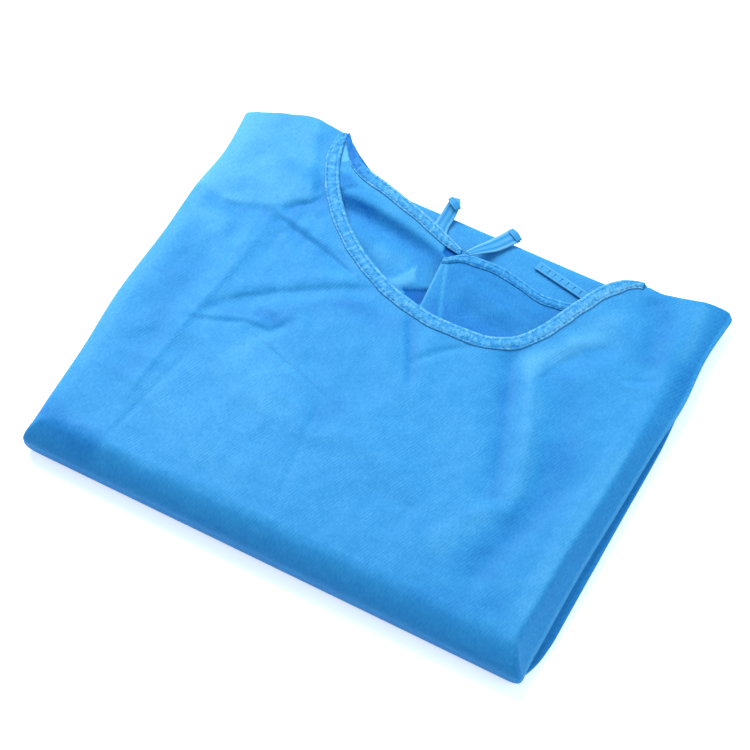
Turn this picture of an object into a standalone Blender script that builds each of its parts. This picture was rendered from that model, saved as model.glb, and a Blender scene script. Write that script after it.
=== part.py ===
"""Isolation gown folded into a flat pack, lying on its back with the front panel uppermost.

X runs along the near rolled edge, +Y points to the neck and shoulders, Z is up. The origin is
on the floor under the middle of the pack. Tables are in millimetres, the mesh is in metres.
"""

import bmesh
import bpy
import numpy as np

MM = 0.001

# Driving sizes, in millimetres
PANEL_WALL = 2.0
BACK_WALL = 1.6
TAPE_WALL = 0.8
SEAM_GAP = 0.3
TAPE_WIDTH = 10.0
LOOSE_TAPE_WALL = 1.2
NEAR_START = -148.0
FAR_LINE = 150.0
NEAR_REACH = 20.0
NEAR_SPREAD = 0.05
LEFT_REACH = 12.0
LAYER_CLEARANCE = 2.0
NECK_CLEAR = 20.0
NECK_RAMP = 18.0
FOLD_FADE = 20.0
FOLD_JOIN = 3.0
SHOULDER_SHARE = 0.12
STATION = 9.5
FAR_ROUND = 8.0
CORNER_POWER = 4.0
CORNER_REACH = 18.0
CORNER_TUCK = 0.16

# Colours of the cloth and of the paler tape
CLOTH_BLUE = (0.075, 0.36, 0.80, 1.0)
INNER_BLUE = (0.07, 0.34, 0.78, 1.0)
TAPE_BLUE = (0.20, 0.50, 0.86, 1.0)


def table(names, *rows):
    """Named columns of a short table."""
    columns = np.array(rows, float).T
    return dict(zip(names.split(), columns))


# Sections across the pack, from the near roll to the shoulders: the left edge, the right folded
# edge, the layer under it, the height of the top at the left, middle and right, the height of the
# right folded edge, and the width of the slope that leads down to it
SECTIONS = table(
    "y left right layer z_left z_middle z_right z_fold slope",
    (-169, -188, 187.5, 191.0, 25.0, 28.0, 25.0, 4.0, 15),
    (-150, -190, 186.0, 191.5, 26.0, 29.5, 26.0, 5.0, 14),
    (-90, -191.5, 186.5, 192.5, 24.0, 27.0, 24.5, 8.0, 13),
    (-30, -195, 189.0, 193.5, 21.0, 23.5, 22.0, 9.5, 13),
    (30, -193.5, 191.5, 194.5, 17.5, 20.0, 19.5, 9.5, 14),
    (70, -194.5, 194.0, 192.5, 14.5, 17.0, 17.5, 9.0, 18),
    (110, -191.5, 192.0, 189.5, 13.2, 15.5, 16.0, 8.0, 20),
    (150, -195, 195.0, 190.5, 11.5, 13.5, 14.0, 6.0, 22),
)

# The far edge of the front panel: left shoulder, round neckline, right shoulder
FAR_EDGE = table(
    "x y",
    (-195, 148.5),
    (-168, 158.5),
    (-142, 167.5),
    (-124, 165.0),
    (-118, 152.0),
    (-109, 131.0),
    (-95, 109.0),
    (-72, 86.0),
    (-44, 67.0),
    (-13, 54.0),
    (18, 48.5),
    (48, 50.0),
    (68, 58.5),
    (81, 76.0),
    (94, 106.0),
    (106, 130.0),
    (118, 141.0),
    (130, 144.5),
    (142, 142.5),
    (156, 145.0),
    (182, 154.5),
    (190, 153.5),
    (195, 147.5),
)
NECK_LEFT = -124.0
NECK_RIGHT = 130.0

# The far edge of the folded layers, which shows beyond the neck
FAR_LAYER = table(
    "x y",
    (-193, 145.0),
    (-142, 165.5),
    (-112, 169.0),
    (-79, 145.0),
    (-61, 137.0),
    (104, 137.5),
    (125, 139.0),
    (154, 142.5),
    (182, 151.0),
    (191, 146.0),
)

# Floor of the neck opening: the top of the folded layers there
NECK_FLOOR = table("x z", (-125, 5.0), (-95, 5.8), (-50, 7.0), (130, 7.0))

# How the panel leaves its top: the share of its reach outward and of its height downward
NEAR_ROLL = table(
    "t reach drop",
    (0.0, 0.0, 0.0),
    (0.15, 0.22, 0.035),
    (0.3, 0.42, 0.11),
    (0.6, 0.75, 0.28),
    (0.85, 0.94, 0.42),
    (1.0, 1.0, 0.52),
    (1.3, 1.0, 0.72),
    (1.6, 0.95, 0.90),
    (1.8, 0.88, 1.0),
)
LEFT_ROLL = table(
    "t reach drop",
    (0.0, 0.0, 0.0),
    (0.3, 0.46, 0.05),
    (0.6, 0.82, 0.17),
    (0.85, 0.97, 0.33),
    (1.0, 1.0, 0.47),
    (1.15, 0.99, 0.62),
)
RIGHT_SLOPE = table(
    "t reach drop",
    (0.0, 0.0, 0.0),
    (0.2, 0.22, 0.09),
    (0.5, 0.52, 0.40),
    (0.8, 0.82, 0.78),
    (1.0, 1.0, 1.0),
)
NEAR_END = 1.8
LEFT_END = 1.15
RIGHT_END = 1.0

# Largest folds of the front panel: a line from one end to the other, the height of its ridge
# (less than nothing in a trough) and its half width
FOLDS = table(
    "x0 y0 x1 y1 height width",
    (-134, 78, -137, -10, 1.2, 8),
    (-137, -10, -143, -104, 1.0, 8),
    (-152, 34, -154, -62, -1.2, 11),
    (-135, -16, -82, 27, -1.3, 8),
    (-82, 27, -34, 56, -1.3, 8),
    (-139, -32, -90, -12, -1.1, 8),
    (-128, 71, -64, 54, -0.8, 7),
    (-184, 74, -142, 76, -1.3, 10),
    (-129, 82, -108, 108, -0.9, 7),
    (75, 42, 90, -12, -1.5, 11),
    (90, -12, 113, -62, -1.4, 11),
    (94, 44, 118, -22, 1.3, 11),
    (98, 44, 128, 86, -1.2, 10),
    (128, 86, 172, 76, -0.8, 9),
    (141, -36, 128, -122, -1.1, 14),
)

# The left back panel, from the shoulder to the centre back: its bound edge and the edge that
# lies under the front panel
BACK_LEFT = table(
    "far_x far_y far_z near_x near_y near_z",
    (-113, 164.0, 9.2, -119, 140, 7.3),
    (-101, 150.0, 11.8, -113, 122, 7.8),
    (-84, 139.5, 14.5, -98, 98, 8.5),
    (-68, 132.0, 15.3, -73, 73, 9.4),
    (-50, 127.5, 15.3, -46, 56, 9.8),
    (-26, 120.0, 13.8, -17, 44, 9.9),
    (-4, 111.5, 11.0, 8, 39, 10.0),
)

# The right back panel, from the centre back to the right shoulder
BACK_RIGHT = table(
    "far_x far_y far_z near_x near_y near_z",
    (-5, 97.0, 14.4, 4, 39, 12.6),
    (10, 108.0, 13.9, 24, 37, 12.4),
    (33, 110.5, 12.4, 45, 38, 11.6),
    (52, 107.5, 11.6, 66, 43, 11.0),
    (70, 104.0, 11.0, 86, 59, 10.6),
    (92, 107.0, 10.6, 101, 88, 10.2),
    (106, 114.0, 10.4, 110, 104, 10.0),
)
RIDGE_FLAT = 6.0
RIDGE_FALL = 14.0

# Middle lines of the loose tapes, with their width at each point
TIE_LEFT = table(
    "x y z width",
    (-9, 107, 8.0, 9),
    (-17, 114, 8.0, 10),
    (-20.5, 127, 8.2, 10),
    (-21, 138, 10.0, 10),
    (-21.5, 148, 13.0, 9),
)
TIE_RIGHT = table(
    "x y z width",
    (8, 110, 15.8, 5),
    (13, 118, 13.2, 9),
    (20, 129, 9.0, 10),
    (30.5, 144.5, 8.4, 10),
)
TAPE_END = table(
    "x y z width",
    (54.5, 127.8, 7.9, 8),
    (76, 123.6, 7.9, 8),
    (101, 118.6, 7.9, 8),
)

# The rings down the sides of the folded layers. Near rings and the first side rings run inside
# the panel, at t on its profile; the other side rings and the far rings give a step outward, in
# millimetres from the edge, and a share of the height
NEAR_RINGS = (0.2, 0.4, 0.6, 0.8, 1.0, 1.2, 1.4, 1.6, 1.78)
NEAR_HEEL = 2.0
PROFILE_STEP = 0.02
LEFT_UNDER = (0.25, 0.5, 0.75, 0.95, 1.05)
LEFT_LIPS = table(
    "out share",
    (-2.4, 1.0),
    (-0.7, 0.95),
    (0.0, 0.62),
    (-2.4, 0.42),
    (-2.8, 0.0),
)
RIGHT_UNDER = (0.25, 0.5, 0.75, 0.95)
RIGHT_LIPS = table(
    "out share",
    (-7.0, 1.0),
    (-3.4, 0.92),
    (-0.6, 0.8),
    (0.0, 0.45),
    (-0.6, 0.15),
    (-1.8, 0.0),
)
FAR_LIPS = table(
    "out share",
    (-5.2, 0.99),
    (-2.8, 0.92),
    (-1.0, 0.80),
    (-0.2, 0.66),
    (0.0, 0.54),
    (-0.6, 0.45),
    (-2.6, 0.40),
    (-0.9, 0.30),
    (-0.6, 0.14),
    (-1.8, 0.0),
)

# Rows of a back panel: distances from its bound edge, in millimetres. The first three carry its
# tape, and the others spread evenly to the edge under the front panel
BACK_ROWS = (0, TAPE_WIDTH / 2, TAPE_WIDTH, 17, 26, 38, 52)


def curve(keys, values, at):
    """Smooth curve through the points (keys, values), level where the values turn."""
    step = np.diff(keys)
    slope = np.diff(values) / step
    tangent = np.zeros(len(values))
    tangent[0], tangent[-1] = slope[0], slope[-1]
    product = slope[:-1] * slope[1:]
    rising = product > 0
    tangent[1:-1][rising] = 2 * product[rising] / (slope[:-1] + slope[1:])[rising]
    at = np.clip(at, keys[0], keys[-1])
    i = np.clip(np.searchsorted(keys, at, side="right") - 1, 0, len(step) - 1)
    t = (at - keys[i]) / step[i]
    start = (1 + 2 * t) * (1 - t) ** 2 * values[i] + t * (1 - t) ** 2 * step[i] * tangent[i]
    end = t * t * (3 - 2 * t) * values[i + 1] - t * t * (1 - t) * step[i] * tangent[i + 1]
    return start + end


def read(rows, key, column, at):
    """A column of a table at any value of its key column."""
    return curve(rows[key], rows[column], at)


def ease(value):
    """0 up to 0, 1 from 1 on, and smooth between."""
    value = np.clip(value, 0, 1)
    return value * value * (3 - 2 * value)


def top_height(x, y):
    """Height of the cloth's upper face before its folds."""
    left, middle, right = (read(SECTIONS, "y", name, y) for name in ("z_left", "z_middle", "z_right"))
    edge_left, edge_right = (read(SECTIONS, "y", name, y) for name in ("left", "right"))
    share = np.clip((x - edge_left) / (edge_right - edge_left), 0, 1)
    return left * (1 - share) + right * share + (4 * middle - 2 * left - 2 * right) * share * (1 - share)


def neck_distance(x, y):
    """Distance outward from the edge of the round neckline, less than nothing inside it."""
    edge_x = np.linspace(NECK_LEFT, NECK_RIGHT, 90)
    edge_y = read(FAR_EDGE, "x", "y", edge_x)
    x, y = np.broadcast_arrays(x, y)
    nearest = np.hypot(x[..., None] - edge_x, y[..., None] - edge_y).min(axis=-1)
    inside = (y > read(FAR_EDGE, "x", "y", x)) & (x > NECK_LEFT) & (x < NECK_RIGHT)
    return np.where(inside, -nearest, nearest)


def fold_height(x, y):
    """Height that the folds add to the upper face. Folds that meet join softly, and all run out
    toward the bound neckline and the sides."""
    ridges, troughs = (np.zeros(np.broadcast(x, y).shape) for _ in range(2))
    for x0, y0, x1, y1, height, width in zip(*FOLDS.values()):
        run_x, run_y = x1 - x0, y1 - y0
        length = np.hypot(run_x, run_y)
        along = ((x - x0) * run_x + (y - y0) * run_y) / length
        across = ((y - y0) * run_x - (x - x0) * run_y) / length
        beyond = np.maximum(0, np.maximum(-along, along - length))
        shape = abs(height) * np.exp(-((across ** 2 + beyond ** 2) / width ** 2))
        if height > 0:
            ridges = ridges + shape ** FOLD_JOIN
        else:
            troughs = troughs + shape ** FOLD_JOIN
    from_sides = np.minimum(x - left_start(y), right_start(y) - x)
    fade = ease(neck_distance(x, y) / FOLD_FADE) * ease(from_sides / FOLD_FADE + 0.2)
    return (ridges ** (1 / FOLD_JOIN) - troughs ** (1 / FOLD_JOIN)) * fade


def roll(profile, t, reach, drop):
    """Reach outward and depth downward at t on a profile."""
    return read(profile, "t", "reach", t) * reach, read(profile, "t", "drop", t) * drop


def near_depth(x):
    """Reach of the near roll, a little more toward the right."""
    return NEAR_REACH * (1 + NEAR_SPREAD * x / SECTIONS["right"][0])


def left_start(y):
    return read(SECTIONS, "y", "left", y) + LEFT_REACH


def right_start(y):
    return read(SECTIONS, "y", "right", y) - read(SECTIONS, "y", "slope", y)


def far_span():
    """Plan x of the far edge's first and last column over the top."""
    return left_start(FAR_LINE), right_start(FAR_LINE)


def neck_stations():
    """Columns of the front panel over the top, evenly spaced along its far edge."""
    first, last = far_span()
    x = np.linspace(first, last, 400)
    y = read(FAR_EDGE, "x", "y", x)
    length = np.concatenate([[0], np.cumsum(np.hypot(np.diff(x), np.diff(y)))])
    even = np.interp(np.linspace(0, length[-1], int(length[-1] / STATION)), length, x)
    return (even - first) / (last - first)


def panel_point(across, along):
    """Outer face of the front panel: across and along run over the top from 0 to 1, and past
    that down its sides (across below 0 and above 1) and down the near roll (along below 0)."""
    over = np.clip(across, 0, 1)
    first, last = far_span()
    x_top = first + over * (last - first)
    x_far = x_top + np.where(across < 0, across * LEFT_REACH, 0)
    x_far = x_far + np.where(across > 1, (across - 1) * read(SECTIONS, "y", "slope", FAR_LINE), 0)
    y = NEAR_START + np.clip(along, 0, 1) * (read(FAR_EDGE, "x", "y", x_far) - NEAR_START)
    x_top = x_top + (left_start(y) - first) * (1 - ease(over / SHOULDER_SHARE))
    x_top = x_top + (right_start(y) - last) * (1 - ease((1 - over) / SHOULDER_SHARE))
    blend = ease(np.clip(along, 0, 1) * 2.2 - 0.1)
    x_near = left_start(y) + over * (right_start(y) - left_start(y))
    x = x_near * (1 - blend) + x_top * blend
    side = np.where(across < 0, -across, np.where(across > 1, across - 1, 0))
    near = np.maximum(0, -along)
    t = (side ** CORNER_POWER + near ** CORNER_POWER) ** (1 / CORNER_POWER)
    safe = np.maximum(t, 1e-9)
    toward_side, toward_near = side / safe, near / safe
    near_share = toward_near ** CORNER_POWER
    top = top_height(x, y) + fold_height(x, y) * (1 - ease(t * 2))
    near_reach, near_drop = roll(NEAR_ROLL, t, near_depth(x), top)
    left_reach, left_drop = roll(LEFT_ROLL, t, LEFT_REACH, top)
    fold = read(SECTIONS, "y", "z_fold", y) + PANEL_WALL
    right_reach, right_drop = roll(RIGHT_SLOPE, t, read(SECTIONS, "y", "slope", y), top - fold)
    side_reach = np.where(across < 0, -left_reach, right_reach)
    side_drop = np.where(across < 0, left_drop, right_drop)
    x = x + toward_side * (side_reach * (1 - near_share) + np.sign(side_reach) * near_reach * near_share)
    y = y - toward_near * near_reach
    z = top - near_drop * near_share - side_drop * (1 - near_share)
    return np.stack([x, y, np.maximum(z, 0)], axis=-1)


def rows_of(*pieces):
    """Evenly spaced values over each stretch (first, last, steps), joined end to end."""
    values = [np.array([pieces[0][0]])]
    for first, last, steps in pieces:
        values.append(np.linspace(first, last, steps + 1)[1:])
    return np.concatenate(values)


def grid_mesh(name, points):
    """Open surface over a grid of points, rows first."""
    rows, columns = points.shape[:2]
    index = np.arange(rows * columns).reshape(rows, columns)
    quads = np.stack([index[:-1, :-1], index[:-1, 1:], index[1:, 1:], index[1:, :-1]], axis=-1)
    mesh = bpy.data.meshes.new(name)
    mesh.from_pydata((points.reshape(-1, 3) * MM).tolist(), [], quads.reshape(-1, 4).tolist())
    return mesh


def add_piece(mesh, name, material, collection):
    """Object of one mesh with one material, shaded smooth."""
    mesh.materials.append(material)
    mesh.shade_smooth()
    piece = bpy.data.objects.new(name, mesh)
    collection.objects.link(piece)
    return piece


def thicken(piece, wall, offset=-1):
    """Gives an open surface its wall: below it at an offset of -1, on both sides at 0."""
    solidify = piece.modifiers.new("Wall", "SOLIDIFY")
    solidify.thickness = wall * MM
    solidify.offset = offset
    solidify.use_even_offset = True
    return piece


def cloth_material(name, color, roughness):
    material = bpy.data.materials.new(name)
    material.use_nodes = True
    shader = material.node_tree.nodes["Principled BSDF"]
    shader.inputs["Base Color"].default_value = color
    shader.inputs["Roughness"].default_value = roughness
    shader.inputs["Metallic"].default_value = 0.0
    return material


def add_front_panel(material, collection):
    """The front panel over the top, the near roll and the two sides."""
    left = np.linspace(-LEFT_END, 0, 7)[:-1]
    right = np.linspace(1, 1 + RIGHT_END, 6)[1:]
    across = np.concatenate([left, neck_stations(), right])
    along = rows_of((-NEAR_END, 0, 9), (0, 0.93, 19), (0.93, 1, 2))
    points = panel_point(across[None, :], along[:, None])
    piece = add_piece(grid_mesh("front_panel", points), "front_panel", material, collection)
    thicken(piece, PANEL_WALL)
    return points[-1]


def layer_top(x, y):
    """Upper face of the folded layers, under the front panel and lower in the neck."""
    covered = top_height(x, y) - PANEL_WALL - LAYER_CLEARANCE
    floor = read(NECK_FLOOR, "x", "z", x)
    outside = ease((neck_distance(x, y) - NECK_CLEAR) / NECK_RAMP)
    return np.minimum(floor, covered) * (1 - outside) + covered * outside


def inside_profile(profile, t, reach, drop):
    """A profile's point moved inward by the wall and the seam gap: reach and drop."""
    ahead = roll(profile, t + PROFILE_STEP, reach, drop)
    behind = roll(profile, t - PROFILE_STEP, reach, drop)
    run, fall = ahead[0] - behind[0], ahead[1] - behind[1]
    length = np.hypot(run, fall)
    inset = PANEL_WALL + SEAM_GAP * 1.5
    here = roll(profile, t, reach, drop)
    return here[0] - inset * fall / length, here[1] + inset * run / length


def near_ring(ring, x, y):
    top = top_height(x, y)
    if ring == len(NEAR_RINGS):
        reach, _ = inside_profile(NEAR_ROLL, NEAR_RINGS[-1], near_depth(x), top)
        return reach - NEAR_HEEL, np.zeros(x.shape)
    reach, drop = inside_profile(NEAR_ROLL, NEAR_RINGS[ring], near_depth(x), top)
    return reach, top - drop


def left_ring(ring, x, y):
    top = top_height(x, y)
    if ring < len(LEFT_UNDER):
        reach, drop = inside_profile(LEFT_ROLL, LEFT_UNDER[ring], LEFT_REACH, top)
        return reach, top - drop
    lip = ring - len(LEFT_UNDER)
    end = top * (1 - LEFT_ROLL["drop"][-1]) - 2 * SEAM_GAP
    return LEFT_REACH + LEFT_LIPS["out"][lip], end * LEFT_LIPS["share"][lip]


def right_ring(ring, x, y):
    top = top_height(x, y)
    slope = read(SECTIONS, "y", "slope", y)
    fold = read(SECTIONS, "y", "z_fold", y)
    if ring < len(RIGHT_UNDER):
        reach, drop = inside_profile(RIGHT_SLOPE, RIGHT_UNDER[ring], slope, top - fold - PANEL_WALL)
        return reach, top - drop
    lip = ring - len(RIGHT_UNDER)
    layer = read(SECTIONS, "y", "layer", y) - right_start(y)
    reach = layer + RIGHT_LIPS["out"][lip]
    if lip == 0:
        reach = np.minimum(reach, slope - PANEL_WALL - 2.0)
    return reach, (fold - SEAM_GAP) * RIGHT_LIPS["share"][lip]


def far_ring(ring, x, y):
    return FAR_ROUND + FAR_LIPS["out"][ring], layer_top(x, y) * FAR_LIPS["share"][ring]


def far_start(x):
    return read(FAR_LAYER, "x", "y", x) - FAR_ROUND


def layer_cap(across, along):
    """Plan of the upper face of the folded layers."""
    first, last = far_span()
    y = NEAR_START + along * (far_start(first + across * (last - first)) - NEAR_START)
    return left_start(y) + across * (right_start(y) - left_start(y)), y


# Each side's ring function, and the way outward along its axis
SIDES = {"near": (near_ring, -1), "right": (right_ring, 1), "far": (far_ring, 1), "left": (left_ring, -1)}


def layer_ring(ring, x, y, side):
    """Points of one ring along one side: near, right, far or left. Toward a corner the ring leans
    over to the other side and takes its reach and height."""
    gaps = {"near": y - NEAR_START, "far": far_start(x) - y}
    gaps.update({"left": x - left_start(y), "right": right_start(y) - x})
    lengthwise = side in ("near", "far")
    first, second = ("left", "right") if lengthwise else ("near", "far")
    first_lean, second_lean = (
        np.clip(1 - np.maximum(gaps[name], 0) / CORNER_REACH, 0, 1) for name in (first, second))
    turn = np.maximum(first_lean, second_lean)
    (first_profile, first_way), (second_profile, second_way) = SIDES[first], SIDES[second]
    first_reach, first_z = first_profile(ring, x, y)
    second_reach, second_z = second_profile(ring, x, y)
    nearer = first_lean >= second_lean
    cross = np.where(nearer, first_reach * first_way, second_reach * second_way)
    cross_z = np.where(nearer, first_z, second_z)
    profile, way = SIDES[side]
    reach, z = profile(ring, x, y)
    size = (1 + turn ** CORNER_POWER) ** (1 / CORNER_POWER) / (1 - CORNER_TUCK * turn)
    share = 1 / (1 + turn ** CORNER_POWER)
    main, cross = reach * way / size, cross * turn / size
    height = z * share + cross_z * (1 - share)
    if lengthwise:
        return np.stack([x + cross, y + main, height], axis=-1)
    return np.stack([x + main, y + cross, height], axis=-1)


def add_folded_layers(material, collection):
    """The skirt, sleeves and sides folded under the front: one rounded solid in rings."""
    across = rows_of((0, 0.05, 3), (0.05, 0.95, 24), (0.95, 1, 3))
    along = rows_of((0, 0.06, 3), (0.06, 0.94, 20), (0.94, 1, 3))
    cap_x, cap_y = layer_cap(across[None, :], along[:, None])
    cap = np.stack([cap_x, cap_y, layer_top(cap_x, cap_y)], axis=-1)
    rows, columns = cap_x.shape
    mesh = bmesh.new()
    grid = [[mesh.verts.new(cap[j, i] * MM) for i in range(columns)] for j in range(rows)]
    for j in range(rows - 1):
        for i in range(columns - 1):
            mesh.faces.new((grid[j][i], grid[j][i + 1], grid[j + 1][i + 1], grid[j + 1][i]))
    sides = (
        ("near", [(0, i) for i in range(columns)]),
        ("right", [(j, columns - 1) for j in range(1, rows)]),
        ("far", [(rows - 1, i) for i in range(columns - 2, -1, -1)]),
        ("left", [(j, 0) for j in range(rows - 2, 0, -1)]),
    )
    last = [grid[j][i] for side, cells in sides for j, i in cells]
    for ring in range(len(NEAR_RINGS) + 1):
        loop = []
        for side, cells in sides:
            x = np.array([cap_x[j, i] for j, i in cells])
            y = np.array([cap_y[j, i] for j, i in cells])
            loop += [mesh.verts.new(point * MM) for point in layer_ring(ring, x, y, side)]
        for k in range(len(loop)):
            after = (k + 1) % len(loop)
            mesh.faces.new((loop[k], loop[after], last[after], last[k]))
        last = loop
    mesh.faces.new(list(reversed(last)))
    data = bpy.data.meshes.new("folded_layers")
    mesh.to_mesh(data)
    mesh.free()
    return add_piece(data, "folded_layers", material, collection)


def back_points(rows, along):
    """Upper face of a back panel at stations along its bound edge, in BACK_ROWS."""
    share = np.linspace(0, 1, len(rows["far_x"]))
    far = np.stack([curve(share, rows[name], along) for name in ("far_x", "far_y", "far_z")], axis=-1)
    near = np.stack([curve(share, rows[name], along) for name in ("near_x", "near_y", "near_z")], axis=-1)
    length = np.hypot(near[:, 0] - far[:, 0], near[:, 1] - far[:, 1])
    lines = []
    for distance in BACK_ROWS:
        spread = max(0, distance - TAPE_WIDTH) / (BACK_ROWS[-1] - TAPE_WIDTH)
        down = min(distance, TAPE_WIDTH) + spread * (length - TAPE_WIDTH)
        fall = ease((down - RIDGE_FLAT) / RIDGE_FALL)
        point = far + (near - far) * (down / length)[:, None]
        point[:, 2] = far[:, 2] * (1 - fall) + near[:, 2] * fall
        lines.append(point)
    return np.array(lines)


def surface_normals(points):
    """Unit normals of a grid of points, upward where the grid lies flat."""
    down = np.gradient(points, axis=0)
    over = np.gradient(points, axis=1)
    normal = np.cross(over, down)
    normal = normal * np.sign(normal[..., 2:3] + 1e-9)
    return normal / np.linalg.norm(normal, axis=-1, keepdims=True)


def loft(name, sections, material, collection):
    """Closed body through equal sections, capped at both ends."""
    mesh = bmesh.new()
    rings = [[mesh.verts.new(tuple(np.array(point) * MM)) for point in section] for section in sections]
    count = len(rings[0])
    for first, second in zip(rings, rings[1:]):
        for k in range(count):
            after = (k + 1) % count
            mesh.faces.new((first[k], first[after], second[after], second[k]))
    mesh.faces.new(list(reversed(rings[0])))
    mesh.faces.new(rings[-1])
    bmesh.ops.recalc_face_normals(mesh, faces=mesh.faces)
    data = bpy.data.meshes.new(name)
    mesh.to_mesh(data)
    mesh.free()
    return add_piece(data, name, material, collection)


def add_binding(name, rows, normals, wall, material, collection):
    """Tape folded over a panel's edge, from rows of the panel's own points: the edge, the middle
    and the inner line of the tape."""
    edge, middle, inner = rows
    out = SEAM_GAP + TAPE_WALL
    under = wall + SEAM_GAP
    inward = middle - edge
    inward = inward / np.linalg.norm(inward, axis=-1, keepdims=True)
    sections = []
    for e, m, i, n, d in zip(edge, middle, inner, normals, inward):
        sections.append([
            i + n * out,
            m + n * out,
            e + n * out - d * SEAM_GAP,
            e + n * SEAM_GAP - d * out,
            e - n * (under - SEAM_GAP) - d * out,
            e - n * (under + TAPE_WALL) - d * SEAM_GAP,
            m - n * (under + TAPE_WALL),
            m - n * under,
            e - n * under - d * SEAM_GAP,
            e + n * SEAM_GAP - d * SEAM_GAP,
            m + n * SEAM_GAP,
            i + n * SEAM_GAP,
        ])
    return loft(name, sections, material, collection)


def add_back_panel(name, rows, stations, material, tape, collection):
    """A back panel and the binding along its neckline."""
    along = np.linspace(0, 1, stations)
    points = back_points(rows, along)
    piece = add_piece(grid_mesh(name, points[::-1]), name, material, collection)
    thicken(piece, BACK_WALL)
    taped, normals = points[:3], surface_normals(points)[0]
    binding = name.replace("back_panel", "neck_binding_back")
    add_binding(binding, taped, normals, BACK_WALL, tape, collection)
    return piece


def add_front_binding(panel_edge, tape, collection):
    """The binding of the front neckline, along the panel's own edge."""
    on_neck = (panel_edge[:, 0] > NECK_LEFT) & (panel_edge[:, 0] < NECK_RIGHT)
    edge = panel_edge[on_neck, :2]
    run = np.gradient(edge, axis=0)
    run = run / np.linalg.norm(run, axis=-1, keepdims=True)
    outward = np.stack([run[:, 1], -run[:, 0]], axis=-1)
    rows = []
    for distance in (0, TAPE_WIDTH / 2, TAPE_WIDTH):
        line = edge + outward * distance
        height = top_height(line[:, 0], line[:, 1]) + fold_height(line[:, 0], line[:, 1])
        rows.append(np.column_stack([line, height]))
    normals = np.tile((0.0, 0.0, 1.0), (len(edge), 1))
    return add_binding("neck_binding_front", rows, normals, PANEL_WALL, tape, collection)


def add_loose_tape(name, route, steps, material, collection):
    """A flat tape along its middle line."""
    share = np.linspace(0, 1, len(route["x"]))
    along = np.linspace(0, 1, steps)
    line = np.stack([curve(share, route[axis], along) for axis in "xyz"], axis=-1)
    half = curve(share, route["width"], along)[:, None] / 2
    run = np.gradient(line, axis=0)
    side = np.stack([run[:, 1], -run[:, 0], np.zeros(steps)], axis=-1)
    side = side / np.linalg.norm(side, axis=-1, keepdims=True)
    strip = np.stack([line - side * half, line + side * half], axis=1)
    piece = add_piece(grid_mesh(name, strip), name, material, collection)
    return thicken(piece, LOOSE_TAPE_WALL, 0)


def build():
    for old in list(bpy.data.objects):
        bpy.data.objects.remove(old)
    collection = bpy.data.collections.new("isolation_gown")
    bpy.context.scene.collection.children.link(collection)
    cloth = cloth_material("cloth", CLOTH_BLUE, 0.55)
    inner = cloth_material("inner_cloth", INNER_BLUE, 0.6)
    tape = cloth_material("tape", TAPE_BLUE, 0.65)
    panel_edge = add_front_panel(cloth, collection)
    add_folded_layers(cloth, collection)
    add_back_panel("back_panel_left", BACK_LEFT, 22, inner, tape, collection)
    add_back_panel("back_panel_right", BACK_RIGHT, 20, inner, tape, collection)
    add_front_binding(panel_edge, tape, collection)
    add_loose_tape("neck_tie_left", TIE_LEFT, 10, tape, collection)
    add_loose_tape("neck_tie_right", TIE_RIGHT, 9, tape, collection)
    add_loose_tape("tape_end", TAPE_END, 7, tape, collection)


build()
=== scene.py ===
"""Looks of the isolation gown, folded into a flat pack with its front panel uppermost.

X runs along the near rolled edge, +Y points to the neck and shoulders, Z is up, and the origin is
on the floor under the middle of the pack. Tables are in millimetres, the meshes in metres.
"""

import math

import bmesh
import bpy
import numpy as np
from mathutils import Matrix, Vector, noise


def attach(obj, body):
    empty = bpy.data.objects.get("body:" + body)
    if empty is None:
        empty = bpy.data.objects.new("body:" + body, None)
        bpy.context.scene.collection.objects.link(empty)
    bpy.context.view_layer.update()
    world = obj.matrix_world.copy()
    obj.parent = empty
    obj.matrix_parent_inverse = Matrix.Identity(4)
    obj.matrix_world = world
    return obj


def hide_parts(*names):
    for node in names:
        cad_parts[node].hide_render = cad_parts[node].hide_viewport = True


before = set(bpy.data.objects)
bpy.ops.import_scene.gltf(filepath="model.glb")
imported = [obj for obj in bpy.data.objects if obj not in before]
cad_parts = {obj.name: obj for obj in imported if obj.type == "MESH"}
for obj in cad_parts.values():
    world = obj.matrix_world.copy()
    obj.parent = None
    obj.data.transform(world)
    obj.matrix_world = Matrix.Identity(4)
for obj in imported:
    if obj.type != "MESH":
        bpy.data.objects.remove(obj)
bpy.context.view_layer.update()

MM = 0.001

# Camera: its side angle and height above the floor, the point it looks at, and its lens
CAMERA_AZIMUTH = 27.9
CAMERA_ELEVATION = 58.7
CAMERA_AIM = (-0.007, -0.0025, 0.0)
CAMERA_DISTANCE = 1.735
CAMERA_LENS = 120.0

# Driving sizes of the cloth, the tapes and their stitches, in millimetres
SHELL = 0.45
PANEL_WALL = 2.0
SEAM_GAP = 0.45
LAYER_GAP = 2.0
TAPE_WIDTH = 10.0
TAPE_TAPER = 22.0
TAPE_THICK = 0.45
STITCH_PITCH = 4.5
STITCH_LENGTH = 3.1

# Where the rolls of the pack start and how far they reach outward: the near one, which reaches a
# little more toward the right, the left one, and the far edge of the folded layers
NEAR_START = -148.0
NEAR_REACH = 20.0
NEAR_SPREAD = 0.05
LEFT_REACH = 12.0
FAR_ROUND = 8.0
FAR_LINE = 150.0

# Corners of the pack: how round they are, how far from the sides they begin, and the share of the
# panel's width over which its far corners take up the slant of its sides
CORNER_POWER = 4.0
CORNER_REACH = 18.0
SHOULDER_SHARE = 0.12

# How far from the neckline the layers sink to the neck's floor and the folds run out, and how
# sharply two folds join
NECK_CLEAR = 20.0
NECK_RAMP = 18.0
FOLD_FADE = 20.0
FOLD_JOIN = 3.0

# Edges that are turned under: the radius of the fold and the cloth beyond it
SHOULDER_FOLD = 1.5
SHOULDER_TAIL = 5.0
RIGHT_FOLD = 0.95
RIGHT_TAIL = 9.0

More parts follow.
